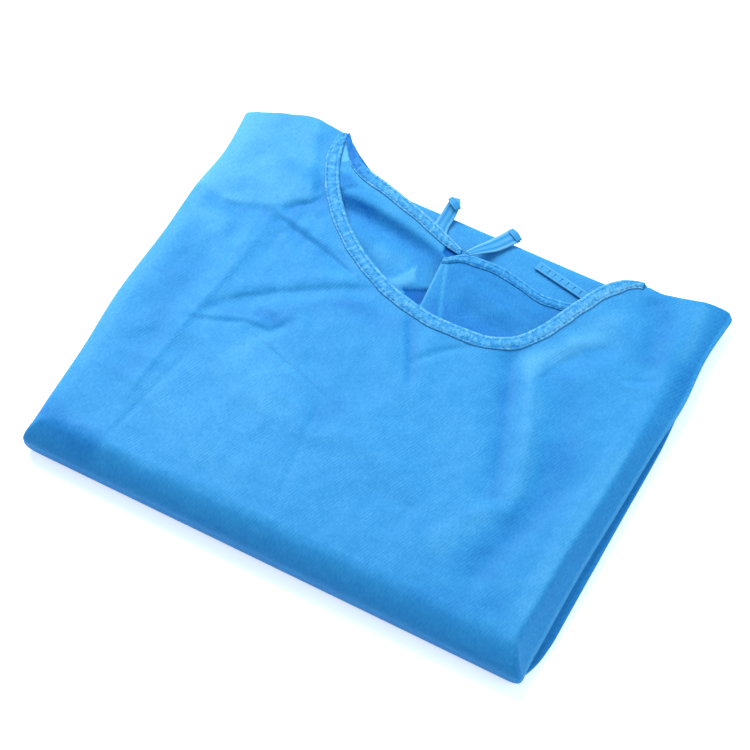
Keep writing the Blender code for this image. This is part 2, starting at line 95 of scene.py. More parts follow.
# Rows and columns of points, and distances between them in millimetres
TOP_COLUMNS = 205
TOP_ROWS = 172
LEFT_COLUMNS = 14
RIGHT_COLUMNS = 11
NEAR_ROWS = 26
FOLD_ROWS = 8
TAIL_ROWS = 3
UNDER_ROWS = FOLD_ROWS + TAIL_ROWS
UNDER_STEP = 1.2
CAP_COLUMNS = 90
CAP_ROWS = 76
CAP_RIM = 6
LAYER_RINGS = 28
BACK_STEP = 1.3
BACK_ROWS = 37
BACK_TAPE_ROWS = 9
LOOSE_STEP = 0.9
STITCH_SIDES = 6

# Cloth that runs down the sides of the panel, down its near roll and down the sides of the layers
SIDE_CLOTH = 16.0
NEAR_CLOTH = 24.0
LAYER_CLOTH = 26.0

# Colours of the cloth, of the tapes and of their thread: where they look deep, plain and pale.
# Deep and pale give both the cloth's uneven tone and the painted shade and painted highlight
CLOTH_DEEP = (0.0005, 0.122, 0.450, 1.0)
CLOTH_BLUE = (0.029, 0.262, 0.596, 1.0)
CLOTH_PALE = (0.105, 0.405, 0.720, 1.0)
TAPE_DEEP = (0.005, 0.150, 0.500, 1.0)
TAPE_BLUE = (0.030, 0.270, 0.585, 1.0)
TAPE_PALE = (0.165, 0.445, 0.690, 1.0)
THREAD_BLUE = (0.006, 0.115, 0.400, 1.0)
FLOOR_WHITE = (0.93, 0.93, 0.93, 1.0)
FLOOR_WARM = (0.96, 0.93, 0.89, 1.0)

# How far a tint of 1 moves a colour between deep (0) and pale (1); the tint is mostly painted
# shade and painted highlight
TINT_STEP = 0.4

# Texture of the cloth and of the tapes: the angles of their bonded rows and ribs, in degrees, and
# the pitches and sizes of what repeats, in millimetres
BOND_ANGLE = 23.0
BOND_PITCH = 2.05
CROSS_PITCH = 2.6
CLOUD_SIZE = 11.0
FIBRE_SIZE = 1.5
FIBRE_STRETCH = 2.2
RIB_ANGLE = 62.0
RIB_PITCH = 1.3
PUCKER_SIZE = 2.6

# Light of the floor itself, which softens the shadow as a light table does
FLOOR_GLOW = 0.53

# Name, place, size, power and colour of each light, and the light from all around
LIGHTS = (
    ("key", (-1.2, 1.15, 1.35), 1.1, 66.0, (1.02, 0.985, 0.94)),
    ("fill", (1.7, 0.1, 1.3), 1.5, 13.0, (0.55, 0.92, 1.12)),
)
WORLD_COLOR = (0.72, 0.93, 1.03, 1.0)
WORLD_STRENGTH = 0.54


def table(names, *rows):
    """Named columns of a short table."""
    columns = np.array(rows, float).T
    return dict(zip(names.split(), columns))


# Sections across the pack, from the near roll to the shoulders: the left edge, the right folded
# edge, the layer under it, the height of the top at the left, middle and right, the height of the
# right folded edge, and the width of the slope that leads down to it
SECTIONS = table(
    "y left right layer z_left z_middle z_right z_fold slope",
    (-169, -188, 187.5, 191.0, 25.0, 28.0, 25.0, 4.0, 15),
    (-150, -190, 186.0, 191.5, 26.0, 29.5, 26.0, 5.0, 14),
    (-90, -191.5, 186.5, 192.5, 24.0, 27.0, 24.5, 8.0, 13),
    (-30, -195, 189.0, 193.5, 21.0, 23.5, 22.0, 9.5, 13),
    (30, -193.5, 191.5, 194.5, 17.5, 20.0, 19.5, 9.5, 14),
    (70, -194.5, 194.0, 192.5, 14.5, 17.0, 17.5, 9.0, 18),
    (110, -191.5, 192.0, 189.5, 13.2, 15.5, 16.0, 8.0, 20),
    (150, -195, 195.0, 190.5, 11.5, 13.5, 14.0, 6.0, 22),
)

# The far edge of the front panel: left shoulder, round neckline, right shoulder
FAR_EDGE = table(
    "x y",
    (-195, 148.5), (-168, 158.5), (-142, 166.5), (-128, 165.0), (-118.5, 163.5), (-115.5, 151.0),
    (-108, 131.0), (-94, 109.0), (-72, 86.0), (-44, 67.0), (-13, 54.0), (18, 48.5), (48, 50.0),
    (68, 58.5), (81, 76.0), (94, 106.0), (106, 130.0), (118, 141.0), (130, 144.5), (142, 144.0),
    (156, 147.0), (182, 153.5), (190, 154.5), (195, 151.0),
)
NECK_LEFT = -118.5
NECK_RIGHT = 130.0

# The far edge of the folded layers, which shows beyond the neck
FAR_LAYER = table(
    "x y",
    (-193, 145.0), (-142, 165.5), (-116, 165.0), (-105, 157.5), (-85, 145.0), (-64, 137.5),
    (-44, 137.0), (104, 137.5), (125, 139.0), (154, 142.5), (182, 151.0), (191, 146.0),
)

# Floor of the neck opening: the top of the folded layers there
NECK_FLOOR = table("x z", (-125, 5.0), (-95, 5.8), (-50, 7.0), (130, 7.0))

# How the panel leaves its top: the share of its reach outward and of its height downward
NEAR_ROLL = table(
    "t reach drop",
    (0.0, 0.0, 0.0), (0.15, 0.22, 0.035), (0.3, 0.42, 0.11), (0.6, 0.75, 0.28), (0.85, 0.94, 0.42),
    (1.0, 1.0, 0.52), (1.3, 1.0, 0.72), (1.6, 0.95, 0.90), (1.8, 0.88, 1.0),
)
LEFT_ROLL = table(
    "t reach drop",
    (0.0, 0.0, 0.0), (0.3, 0.46, 0.05), (0.6, 0.82, 0.17), (0.85, 0.97, 0.33), (1.0, 1.0, 0.47),
    (1.15, 0.99, 0.62),
)
RIGHT_SLOPE = table(
    "t reach drop",
    (0.0, 0.0, 0.0), (0.12, 0.14, 0.06), (0.5, 0.53, 0.45), (0.85, 0.87, 0.85), (1.0, 1.0, 1.0),
)
NEAR_END = 1.8
LEFT_END = 1.15
RIGHT_END = 1.0

# Largest folds of the front panel: a line from one end to the other, the height of its ridge
# (less than nothing in a trough) and its half width
FOLDS = table(
    "x0 y0 x1 y1 height width",
    (-134, 78, -137, -10, 1.2, 8),
    (-137, -10, -143, -104, 1.0, 8),
    (-152, 34, -154, -62, -1.2, 11),
    (-135, -25, -79, 22, -0.8, 8),
    (-79, 22, -32, 50, -0.8, 8),
    (-140, -38, -84, -20, -0.7, 8),
    (-128, 71, -64, 54, -0.8, 7),
    (-184, 74, -142, 76, -1.3, 10),
    (-129, 82, -108, 108, -0.9, 7),
    (75, 42, 90, -12, -1.5, 11),
    (90, -12, 113, -62, -1.4, 11),
    (94, 44, 118, -22, 1.3, 11),
    (98, 44, 128, 86, -1.2, 10),
    (128, 86, 172, 76, -0.8, 9),
    (141, -36, 128, -122, -1.1, 14),
)

# The left back panel, from the shoulder to the centre back: its bound edge and the edge that
# lies under the front panel
BACK_LEFT = table(
    "far_x far_y far_z near_x near_y near_z",
    (-117, 164.5, 12.3, -119, 140, 7.3),
    (-104.5, 151.0, 12.0, -113, 122, 7.8),
    (-89, 141.0, 14.0, -98, 98, 8.5),
    (-70, 135.5, 15.3, -73, 73, 9.4),
    (-50, 129.5, 15.3, -46, 56, 9.8),
    (-24, 121.5, 13.8, -17, 44, 9.9),
    (3, 110.5, 12.2, 8, 39, 10.0),
)

# The right back panel, from the centre back to the right shoulder
BACK_RIGHT = table(
    "far_x far_y far_z near_x near_y near_z",
    (-5, 97.0, 14.4, -1, 39, 12.6),
    (10, 108.0, 13.9, 24, 37, 12.4),
    (33, 110.5, 12.4, 45, 38, 11.6),
    (52, 107.5, 11.6, 66, 43, 11.0),
    (70, 104.0, 11.0, 86, 59, 10.6),
    (92, 107.0, 10.6, 101, 88, 10.2),
    (106, 114.0, 10.4, 110, 104, 10.0),
)

# The ridge behind the bound edge of each back panel: how far it runs level, how much of that it
# loses toward the last station, and the width of the slope beyond it
RIDGE_LEFT = (28.5, 19.5, 13.0)
RIDGE_RIGHT = (8.0, 0.0, 36.0)

# Middle lines of the loose tapes, with their width at each point
TIE_LEFT = table(
    "x y z width",
    (-9, 107, 8.0, 9), (-17, 114, 8.0, 10.5), (-21, 127, 8.2, 11), (-20.5, 138, 10.0, 10.5),
    (-20.5, 145, 12.2, 9), (-21.5, 149.5, 12.6, 6),
)
# The tip of the left tie, folded over to the side
TIE_LEFT_TIP = table(
    "x y z width",
    (-25, 147, 13.6, 4), (-20, 144.5, 14.2, 6.5), (-15.5, 141.0, 13.0, 4.5),
)
TIE_RIGHT = table(
    "x y z width",
    (8, 109, 15.0, 4), (14, 118, 12.4, 8), (21.5, 129.5, 9.0, 11.5), (29.5, 143.0, 8.4, 13),
)
# The tip of the right tie, turned over
TIE_RIGHT_TIP = table(
    "x y z width",
    (24.5, 145.2, 9.4, 4), (29.5, 142.6, 10.2, 5), (34.5, 139.6, 9.4, 4),
)
TAPE_END = table(
    "x y z width",
    (54.5, 127.8, 7.9, 8), (76, 123.6, 7.9, 8), (101, 118.6, 7.9, 8),
)

# The loose tapes: name, route, tint, how much paler their borders are and how much painted shade their
# grooves get, how far their right border is raised, and the solid that each stands for
LOOSE_TAPES = (
    ("tie_left_tape", TIE_LEFT, 0.3, 0.8, 0.0, "neck_tie_left"),
    ("tie_left_tip", TIE_LEFT_TIP, 0.1, 0.6, 0.0),
    ("tie_right_tape", TIE_RIGHT, 0.35, 1.0, 0.0, "neck_tie_right"),
    ("tie_right_tip", TIE_RIGHT_TIP, 0.1, 0.5, 0.0),
    ("tape_end_strip", TAPE_END, 0.2, 0.25, 0.16, "tape_end"),
)

# Distance from one stitch across the tape end to the next
CROSS_SPACING = 5.6


def curve(keys, values, at):
    """Smooth curve through the points (keys, values), level where the values turn."""
    step = np.diff(keys)
    slope = np.diff(values) / step
    tangent = np.zeros(len(values))
    tangent[0], tangent[-1] = slope[0], slope[-1]
    product = slope[:-1] * slope[1:]
    rising = product > 0
    tangent[1:-1][rising] = 2 * product[rising] / (slope[:-1] + slope[1:])[rising]
    at = np.clip(at, keys[0], keys[-1])
    i = np.clip(np.searchsorted(keys, at, side="right") - 1, 0, len(step) - 1)
    t = (at - keys[i]) / step[i]
    start = (1 + 2 * t) * (1 - t) ** 2 * values[i] + t * (1 - t) ** 2 * step[i] * tangent[i]
    end = t * t * (3 - 2 * t) * values[i + 1] - t * t * (1 - t) * step[i] * tangent[i + 1]
    return start + end


def read(rows, key, column, at):
    """A column of a table at any value of its key column."""
    return curve(rows[key], rows[column], at)


def ease(value):
    """0 up to 0, 1 from 1 on, and smooth between."""
    value = np.clip(value, 0, 1)
    return value * value * (3 - 2 * value)


def section(name, y):
    """A column of SECTIONS at any distance from the near roll."""
    return read(SECTIONS, "y", name, y)


def unit(vectors):
    """The same directions with a length of 1."""
    return vectors / np.linalg.norm(vectors, axis=-1, keepdims=True)


def distances(line):
    """Distance of each point of a line from its first point, along the line."""
    return np.concatenate([[0], np.cumsum(np.linalg.norm(np.diff(line, axis=0), axis=-1))])


def left_start(y):
    return section("left", y) + LEFT_REACH


def right_start(y):
    return section("right", y) - section("slope", y)


def top_height(x, y):
    """Height of the cloth's upper face before its folds."""
    left, middle, right = (section(name, y) for name in ("z_left", "z_middle", "z_right"))
    edge_left, edge_right = section("left", y), section("right", y)
    share = np.clip((x - edge_left) / (edge_right - edge_left), 0, 1)
    return left * (1 - share) + right * share + (4 * middle - 2 * left - 2 * right) * share * (1 - share)


def neck_distance(x, y):
    """Distance outward from the edge of the round neckline, less than nothing inside it."""
    edge_x = np.linspace(NECK_LEFT, NECK_RIGHT, 120)
    edge_y = read(FAR_EDGE, "x", "y", edge_x)
    x, y = np.broadcast_arrays(x, y)
    nearest = np.full(x.shape, np.inf)
    for px, py in zip(edge_x, edge_y):
        nearest = np.minimum(nearest, np.hypot(x - px, y - py))
    within = (y > read(FAR_EDGE, "x", "y", x)) & (x > NECK_LEFT) & (x < NECK_RIGHT)
    return np.where(within, -nearest, nearest)


def line_shape(x, y, x0, y0, x1, y1, width):
    """A soft bell across a line: 1 on it, falling off over its half width and past its ends."""
    run_x, run_y = x1 - x0, y1 - y0
    length = np.hypot(run_x, run_y)
    along = ((x - x0) * run_x + (y - y0) * run_y) / length
    across = ((y - y0) * run_x - (x - x0) * run_y) / length
    beyond = np.maximum(0, np.maximum(-along, along - length))
    return np.exp(-((across ** 2 + beyond ** 2) / width ** 2))


def fold_height(x, y):
    """Height that the largest folds add to the upper face."""
    ridges, troughs = (np.zeros(np.broadcast(x, y).shape) for _ in range(2))
    for x0, y0, x1, y1, height, width in zip(*FOLDS.values()):
        shape = abs(height) * line_shape(x, y, x0, y0, x1, y1, width)
        if height > 0:
            ridges = ridges + shape ** FOLD_JOIN
        else:
            troughs = troughs + shape ** FOLD_JOIN
    return ridges ** (1 / FOLD_JOIN) - troughs ** (1 / FOLD_JOIN)


def fold_fade(x, y):
    """Folds run out toward the bound neckline and toward the sides."""
    from_sides = np.minimum(x - left_start(y), right_start(y) - x)
    return ease(neck_distance(x, y) / FOLD_FADE) * ease(from_sides / FOLD_FADE + 0.2)


def roll(profile, t, reach, drop):
    """Reach outward and depth downward at t on a profile."""
    return read(profile, "t", "reach", t) * reach, read(profile, "t", "drop", t) * drop


def near_depth(x):
    """Reach of the near roll, a little more toward the right."""
    return NEAR_REACH * (1 + NEAR_SPREAD * x / SECTIONS["right"][0])


def rows_of(*pieces):
    """Evenly spaced values over each stretch (first, last, steps), joined end to end."""
    values = [np.array([pieces[0][0]])]
    for first, last, steps in pieces:
        values.append(np.linspace(first, last, steps + 1)[1:])
    return np.concatenate(values)


# Creases of the front panel, finer than its largest folds: the height of the ridge (less than
# nothing in a trough), its half width on the left and on the right of the line, and the line
CREASES = (
    (-1.1, 2.0, 8.0, (
        (-142, -30), (-130, -20), (-123, -8), (-112, 2), (-96, 15), (-71, 31), (-50, 44), (-28, 56),
    )),
    (0.35, 5.0, 4.0, ((-140, -12), (-118, 9), (-90, 29), (-64, 46), (-40, 60))),
    (-1.2, 1.8, 5.0, ((-146, -36), (-121, -26), (-102, -18), (-82, -16), (-70, 4))),
    (-0.9, 4.0, 5.0, ((-100, -4), (-86, -6), (-74, -14))),
    (-1.1, 1.5, 3.4, ((-139, 78), (-101, 68), (-74, 61), (-44, 50))),
    (0.6, 3.0, 3.0, ((-128, 80), (-100, 73), (-72, 66))),
    (-0.7, 1.6, 2.2, ((-135, 80), (-133, 42))),
    (-1.0, 2.4, 9.0, ((-190, 73), (-168, 66), (-150, 70))),
    (-1.3, 1.6, 5.0, ((-128, 80), (-119, 91), (-111, 96), (-105, 109), (-97, 112))),
    (-1.2, 3.0, 13.0, ((-148, 60), (-144, 33), (-140, 10), (-141, -34))),
    (0.7, 1.6, 1.8, ((-127, 62), (-130, 30), (-137, -37), (-140, -80), (-142, -128))),
    (-0.6, 1.4, 2.0, ((-121, -52), (-129, -103), (-137, -152))),
    (-0.6, 1.5, 1.7, ((-110, -19), (-64, -33), (-14, -49))),
    (-0.45, 1.6, 2.4, ((-24, -44), (-16, -101), (-8, -148))),
    (-0.35, 8.0, 3.0, ((-72, 26), (-54, -8), (-37, -42))),
    (-1.3, 5.0, 2.0, ((-7, 48), (10, 16), (26, -16))),
    (-1.0, 2.0, 4.0, ((12, 4), (32, 28), (58, 51))),
    (-1.6, 8.0, 7.0, ((68, 54), (86, 22), (97, -4), (106, -37), (116, -58))),
    (1.2, 4.5, 12.0, ((85, 60), (96, 34), (104, 14), (112, -4), (118, -20))),
    (1.3, 4.0, 11.0, ((107, 8), (116, -14), (122, -32), (127, -48), (128, -68), (124, -84))),
    (-0.6, 12.0, 7.0, ((114, 32), (127, 1), (136, -26), (140, -56), (131, -92))),
    (-0.9, 13.0, 13.0, ((117, 50), (138, 9), (147, -32))),
    (-0.75, 2.4, 9.0, ((96, 26), (100, 38), (104, 50), (109, 61), (117, 73), (127, 81), (142, 85))),
    (0.5, 5.0, 3.0, ((92, 44), (99, 63), (110, 78), (132, 93))),
    (-1.2, 8.0, 8.0, ((136, 140), (152, 116), (159, 86))),
    (0.7, 5.0, 5.0, ((168, 146), (172, 108), (177, 74))),
    (-0.7, 1.6, 2.4, ((144, 61), (166, 72), (186, 85))),
    (1.3, 9.0, 6.0, ((172, 50), (170, -5), (169, -51), (170, -103), (166, -146))),
    (-1.0, 9.0, 9.0, ((155, -16), (148, -55), (137, -90), (128, -114), (124, -140))),
    (0.9, 7.0, 8.0, ((124, -64), (102, -84), (96, -122))),
    (-0.8, 7.0, 7.0, ((34, -92), (66, -99), (66, -126))),
    (-0.8, 3.0, 3.0, ((-107, 118), (-94, 115))),
    (0.4, 8.0, 8.0, ((-96, -60), (-40, -76), (22, -70), (70, -90))),
    (-0.45, 7.0, 7.0, ((-168, -70), (-130, -110), (-84, -128))),
)

# Painted shade (less than nothing) and painted highlight along lines on the front panel, as in CREASES
PAINTED_SHADES = (
    (-0.28, 14.0, 14.0, ((-166, 54), (-164, 13), (-158, -16), (-156, -43), (-150, -78), (-150, -120))),
    (-0.30, 3.0, 9.0, ((-186, 66), (-163, 64), (-145, 68))),
    (-0.50, 3.0, 8.0, ((-126, 76), (-118, 90), (-109, 95), (-102, 110))),
    (-0.10, 16.0, 18.0, ((-130, 50), (-100, 44), (-58, 46))),
    (-0.40, 6.0, 7.0, ((-102, -6), (-86, -8), (-68, 1))),
    (-0.35, 6.0, 3.0, ((-7, 48), (10, 16), (24, -12))),
    (-0.32, 7.0, 7.0, ((62, 66), (87, 22), (95, 4))),
    (-0.42, 6.0, 6.0, ((74, 36), (96, -12), (111, -54), (117, -78))),
    (0.30, 4.0, 12.0, ((86, 62), (106, 20), (117, -6), (127, -32), (128, -60), (124, -78))),
    (-0.25, 13.0, 13.0, ((115, 58), (138, 9), (148, -34))),
    (-0.34, 3.0, 11.0, ((98, 30), (104, 46), (110, 60), (118, 71), (136, 82))),
    (0.34, 7.0, 4.0, ((86, 36), (94, 52), (101, 64), (111, 80), (134, 94))),
    (-0.45, 11.0, 11.0, ((140, 146), (156, 116), (163, 76))),
    (0.40, 6.0, 6.0, ((172, 152), (179, 122), (180, 92))),
    (-0.40, 5.0, 9.0, ((193, 170), (191, 110), (187, 50))),
    (0.50, 2.0, 9.0, ((178, 40), (176, -28), (173, -75), (172, -125), (171, -158))),
    (-0.16, 16.0, 1.5, ((185, 150), (182, 77), (180, 29), (177, -28), (174, -75), (173, -125), (172, -164))),
    (-0.40, 16.0, 14.0, ((132, 12), (138, -20), (144, -46), (136, -76), (128, -110), (118, -138))),
    (0.30, 10.0, 10.0, ((120, -66), (106, -92), (95, -126))),
    (0.45, 8.0, 12.0, ((126, 122), (119, 90), (106, 62), (90, 44), (72, 40))),
    (-0.45, 8.0, 8.0, ((-158, 118), (-127, 118), (-100, 110), (-74, 98))),
    (-0.30, 6.0, 8.0, ((-164, 74), (-118, 71), (-68, 60))),
    (0.35, 10.0, 10.0, ((-184, 62), (-163, 49), (-154, 14))),
    (-0.35, 11.0, 11.0, ((-58, 36), (-24, 27), (2, 32))),
    (-0.25, 9.0, 9.0, ((-28, -72), (-4, -44))),
    (-0.25, 7.0, 7.0, ((-128, -26), (-88, 2), (-30, 40))),
    (-0.28, 10.0, 10.0, ((84, -150), (128, -146), (164, -122))),
    (0.20, 26.0, 26.0, ((-104, -30), (-70, -50), (-50, -90))),
    (0.18, 14.0, 14.0, ((66, -8), (82, -46), (84, -76))),
    (0.16, 20.0, 20.0, ((-158, -78), (-115, -104), (-63, -127), (-18, -112))),
    (-0.12, 22.0, 22.0, ((-46, 24), (-38, -22), (-18, -64))),
    (0.08, 24.0, 24.0, ((-114, -48), (-70, -62), (-36, -86))),
    (-0.60, 11.0, 11.0, ((-196, -140), (-168, -150), (-132, -156))),
)

# The left shoulder lies on the folded back below it, which lifts it as a low plateau
PLATEAU = (
    (-215, 76), (-184, 73), (-165, 69), (-149, 73), (-133, 80), (-124, 86), (-119, 93),
    (-112, 99), (-114, 108), (-118, 118), (-133, 146), (-142, 185), (-215, 185),
)
PLATEAU_HEIGHT = 1.6
PLATEAU_EDGE = 8.0

# Painted light of the front panel: a painted highlight on that plateau, along the left edge and along
# the right folded edge, and painted shade at the near roll's lower edge
SHOULDER_PAINTED_HIGHLIGHT = 0.42
RIM_PAINTED_HIGHLIGHT = 0.3
FOLD_PAINTED_HIGHLIGHT = 0.6
NEAR_PAINTED_SHADE = 0.7


def nearest_on_line(points, x, y):
    """Signed distance from a line of several points, more than nothing on its left, and the share
    of the line's length at the nearest point."""
    points = np.array(points, float)
    lengths = np.hypot(*(points[1:] - points[:-1]).T)
    total, passed = lengths.sum(), 0.0
    best, signed, share = np.full(x.shape, np.inf), np.zeros(x.shape), np.zeros(x.shape)
    for (x0, y0), (x1, y1), length in zip(points[:-1], points[1:], lengths):
        run_x, run_y = (x1 - x0) / length, (y1 - y0) / length
        along = np.clip((x - x0) * run_x + (y - y0) * run_y, 0, length)
        distance = np.hypot(x - x0 - along * run_x, y - y0 - along * run_y)
        side = np.sign(run_x * (y - y0) - run_y * (x - x0))
        closer = distance < best
        best = np.where(closer, distance, best)
        signed = np.where(closer, distance * side, signed)
        share = np.where(closer, (passed + along) / total, share)
        passed += length
    return signed, share


def polygon_depth(points, x, y):
    """Distance inside a closed outline, less than nothing outside it."""
    ring = list(points) + [points[0]]
    signed, _ = nearest_on_line(ring, x, y)
    within = np.zeros(x.shape, bool)
    for (x0, y0), (x1, y1) in zip(ring[:-1], ring[1:]):
        crosses = (y0 > y) != (y1 > y)
        with np.errstate(divide="ignore", invalid="ignore"):
            at = (x1 - x0) * (y - y0) / (y1 - y0) + x0
        within ^= crosses & (x < at)
    return np.where(within, np.abs(signed), -np.abs(signed))


def inside(corners, x, y, soft):
    """1 inside a closed outline and 0 outside it, with an edge this soft in millimetres."""
    return ease(polygon_depth(corners, x, y) / soft + 0.5)


def place_height(places, x, y):
    """Height that a list of soft places adds, or the painted light that a list of painted places adds."""
    return sum(rise * inside(corners, x, y, soft) for corners, rise, soft in places)


def crease_height(creases, x, y):
    """Height that a list of creases adds, or the painted shade and highlight that a list of painted
    shades adds, tapered at each end of a crease.
    """
    height = np.zeros(x.shape)
    for rise, left, right, points in creases:
        signed, share = nearest_on_line(points, x, y)
        width = np.where(signed > 0, left, right)
        taper = ease(share / 0.2) * ease((1 - share) / 0.2)
        height = height + rise * np.exp(-(signed / width) ** 2) * taper
    return height


def noise_field(x, y, size, seed):
    """Smooth uneven height between about -1 and 1, with bumps of about this size."""
    flat = [noise.noise(Vector((px / size, py / size, seed))) for px, py in zip(x.ravel(), y.ravel())]
    return np.array(flat).reshape(x.shape)


# Where the cloth is wrinkled most: the middle of the place and its reach
WRINKLED = (-112.0, 78.0, 62.0)


def crumple(x, y):
    """Small uneven creases of the thin cloth, more of them toward the left shoulder."""
    amount = 0.55 + 0.45 * ease((60 - x) / 160)
    wide = noise_field(x, y, 44, 3.1) * 1.3
    folded = (0.4 - np.sqrt(0.004 + noise_field(x + 0.4 * y, y - 0.3 * x, 30, 8.7) ** 2)) * 1.7
    wrinkled = ease((WRINKLED[2] - np.hypot(x - WRINKLED[0], y - WRINKLED[1])) / WRINKLED[2])
    small = noise_field(x * 1.4, y, 10, 5.3) * (0.22 + 0.5 * wrinkled)
    return (wide + folded) * amount + small


def surface_height(x, y):
    """Height of the front panel's upper face with all its folds and creases."""
    x, y = np.broadcast_arrays(np.asarray(x, float), np.asarray(y, float))
    plateau = PLATEAU_HEIGHT * (inside(PLATEAU, x, y, PLATEAU_EDGE) - 0.5)
    folds = fold_height(x, y) + crease_height(CREASES, x, y) + crumple(x, y) + plateau
    return top_height(x, y) + folds * fold_fade(x, y)


def far_span():
    """Plan x of the far edge's first and last column over the top."""
    return left_start(FAR_LINE), right_start(FAR_LINE)


def neck_shares(count):
    """Shares of the far span, evenly spaced along the far edge."""
    first, last = far_span()
    x = np.linspace(first, last, 900)
    y = read(FAR_EDGE, "x", "y", x)
    run = distances(np.column_stack([x, y]))
    even = np.interp(np.linspace(0, run[-1], count), run, x)
    return (even - first) / (last - first)


def panel_surface(near_share, far_share, side, along):
    """Outer face of the front panel. The shares run over the top from left to right, at the near
    edge and at the far edge; side is how far a point is down the left (less than nothing) or the
    right side, and along runs from the near roll (less than 0) to the far edge (1)."""
    first, last = far_span()
    x_top = first + far_share * (last - first)
    x_far = x_top + np.where(side < 0, side * LEFT_REACH, side * section("slope", FAR_LINE))
    y = NEAR_START + np.clip(along, 0, 1) * (read(FAR_EDGE, "x", "y", x_far) - NEAR_START)
    blend = ease(np.clip(along, 0, 1) * 2.2 - 0.1)
    x_near = left_start(y) + near_share * (right_start(y) - left_start(y))
    x_top = x_top + (left_start(y) - first) * (1 - ease(far_share / SHOULDER_SHARE))
    x_top = x_top + (right_start(y) - last) * (1 - ease((1 - far_share) / SHOULDER_SHARE))
    x = x_near * (1 - blend) + x_top * blend
    near = np.maximum(0, -along)
    across = np.abs(side)
    t = (across ** CORNER_POWER + near ** CORNER_POWER) ** (1 / CORNER_POWER)
    safe = np.maximum(t, 1e-9)
    toward_side, toward_near = across / safe, near / safe
    near_part = toward_near ** CORNER_POWER
    plain = top_height(x, y)
    top = plain + (surface_height(x, y) - plain) * (1 - ease(t * 2))
    near_reach, near_drop = roll(NEAR_ROLL, t, near_depth(x), top)
    left_reach, left_drop = roll(LEFT_ROLL, t, LEFT_REACH, top)
    fold = section("z_fold", y) + PANEL_WALL
    right_reach, right_drop = roll(RIGHT_SLOPE, t, section("slope", y), top - fold)
    reach = np.where(side < 0, -left_reach, right_reach)
    drop = np.where(side < 0, left_drop, right_drop)
    flat = np.stack([x + side * SIDE_CLOTH, y - near * NEAR_CLOTH], axis=-1)
    x = x + toward_side * (reach * (1 - near_part) + np.sign(reach) * near_reach * near_part)
    y = y - toward_near * near_reach
    z = top - near_drop * near_part - drop * (1 - near_part)
    return np.stack([x, y, np.maximum(z, 0.1)], axis=-1), flat


def upward(normals):
    """Unit normals, turned so that none points down."""
    return unit(normals * np.sign(normals[..., 2:3] + 1e-9))


def turned_under(edge, before, radius, tail):
    """Rows that carry a surface on from its edge, round a tight fold and back under itself. The
    row before the edge gives the direction in which the surface arrives. Each point of the edge
    has its own radius and length of cloth under the fold."""
    radius, tail = (np.broadcast_to(value, len(edge))[:, None] for value in (radius, tail))
    tangent = unit(edge - before)
    normal = upward(np.cross(np.gradient(edge, axis=0), tangent))
    level = unit(tangent * (1, 1, 0))
    turn = np.pi - np.arctan2(-tangent[:, 2], np.hypot(tangent[:, 0], tangent[:, 1]))
    rows = []
    for step in range(1, FOLD_ROWS + 1):
        angle = (turn * step / FOLD_ROWS)[:, None]
        rows.append(edge + tangent * radius * np.sin(angle) - normal * radius * (1 - np.cos(angle)))
    for step in range(1, TAIL_ROWS + 1):
        rows.append(rows[FOLD_ROWS - 1] - level * tail * step / TAIL_ROWS)
    return np.array(rows)


def set_tint(mesh, tint):
    """How much paler (more than nothing) or deeper the cloth is at each point, mostly painted
    highlight and painted shade.
    """
    layer = mesh.attributes.new("tint", "FLOAT", "POINT")
    layer.data.foreach_set("value", np.broadcast_to(tint, len(mesh.vertices)).astype(np.float32))


def new_object(name, mesh, tint):
    """A smooth object in the scene, with its tint."""
    mesh.shade_smooth()
    set_tint(mesh, tint)
    piece = bpy.data.objects.new(name, mesh)
    bpy.context.scene.collection.objects.link(piece)
    return piece


def cloth_mesh(name, points, flat, faces):
    """Cloth over points, with its flat place in metres as its UV map."""
    mesh = bpy.data.meshes.new(name)
    mesh.from_pydata((points.reshape(-1, 3) * MM).tolist(), [], faces)
    layer = mesh.uv_layers.new(name="flat")
    corner = np.array([loop.vertex_index for loop in mesh.loops])
    layer.data.foreach_set("uv", (flat.reshape(-1, 2)[corner] * MM).astype(np.float32).ravel())
    return mesh


def grid_quads(rows, columns):
    """Numbers of a grid's points, and the four corners of each of its cells."""
    index = np.arange(rows * columns).reshape(rows, columns)
    return index, np.stack([index[:-1, :-1], index[:-1, 1:], index[1:, 1:], index[1:, :-1]], axis=-1)


def grid_object(name, points, flat, tint, keep=None):
    """Cloth over a grid of points, rows first. tint has a value for each point, and keep leaves
    out the cells where it is false."""
    quads = grid_quads(*points.shape[:2])[1]
    quads = quads.reshape(-1, 4) if keep is None else quads[keep]
    return new_object(name, cloth_mesh(name, points, flat, quads.tolist()), tint.ravel())


def drop_loose(piece):
    """Removes points that no face uses."""
    mesh = bmesh.new()
    mesh.from_mesh(piece.data)
    loose = [vert for vert in mesh.verts if not vert.link_faces]
    bmesh.ops.delete(mesh, geom=loose, context="VERTS")
    mesh.to_mesh(piece.data)
    mesh.free()


def thicken(piece, wall):
    """Gives the cloth its thickness, below its outer face."""
    solidify = piece.modifiers.new("Thickness", "SOLIDIFY")
    solidify.thickness = wall * MM
    solidify.offset = -1
    return piece


def finish_piece(piece, material, slot_name, *nodes):
    """One material, the body the piece rides on, its slot_name, which is not used, and the solids it stands
    for.
    """
    piece.data.materials.append(material)
    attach(piece, "root")
    if nodes:
        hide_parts(*nodes)
    return piece


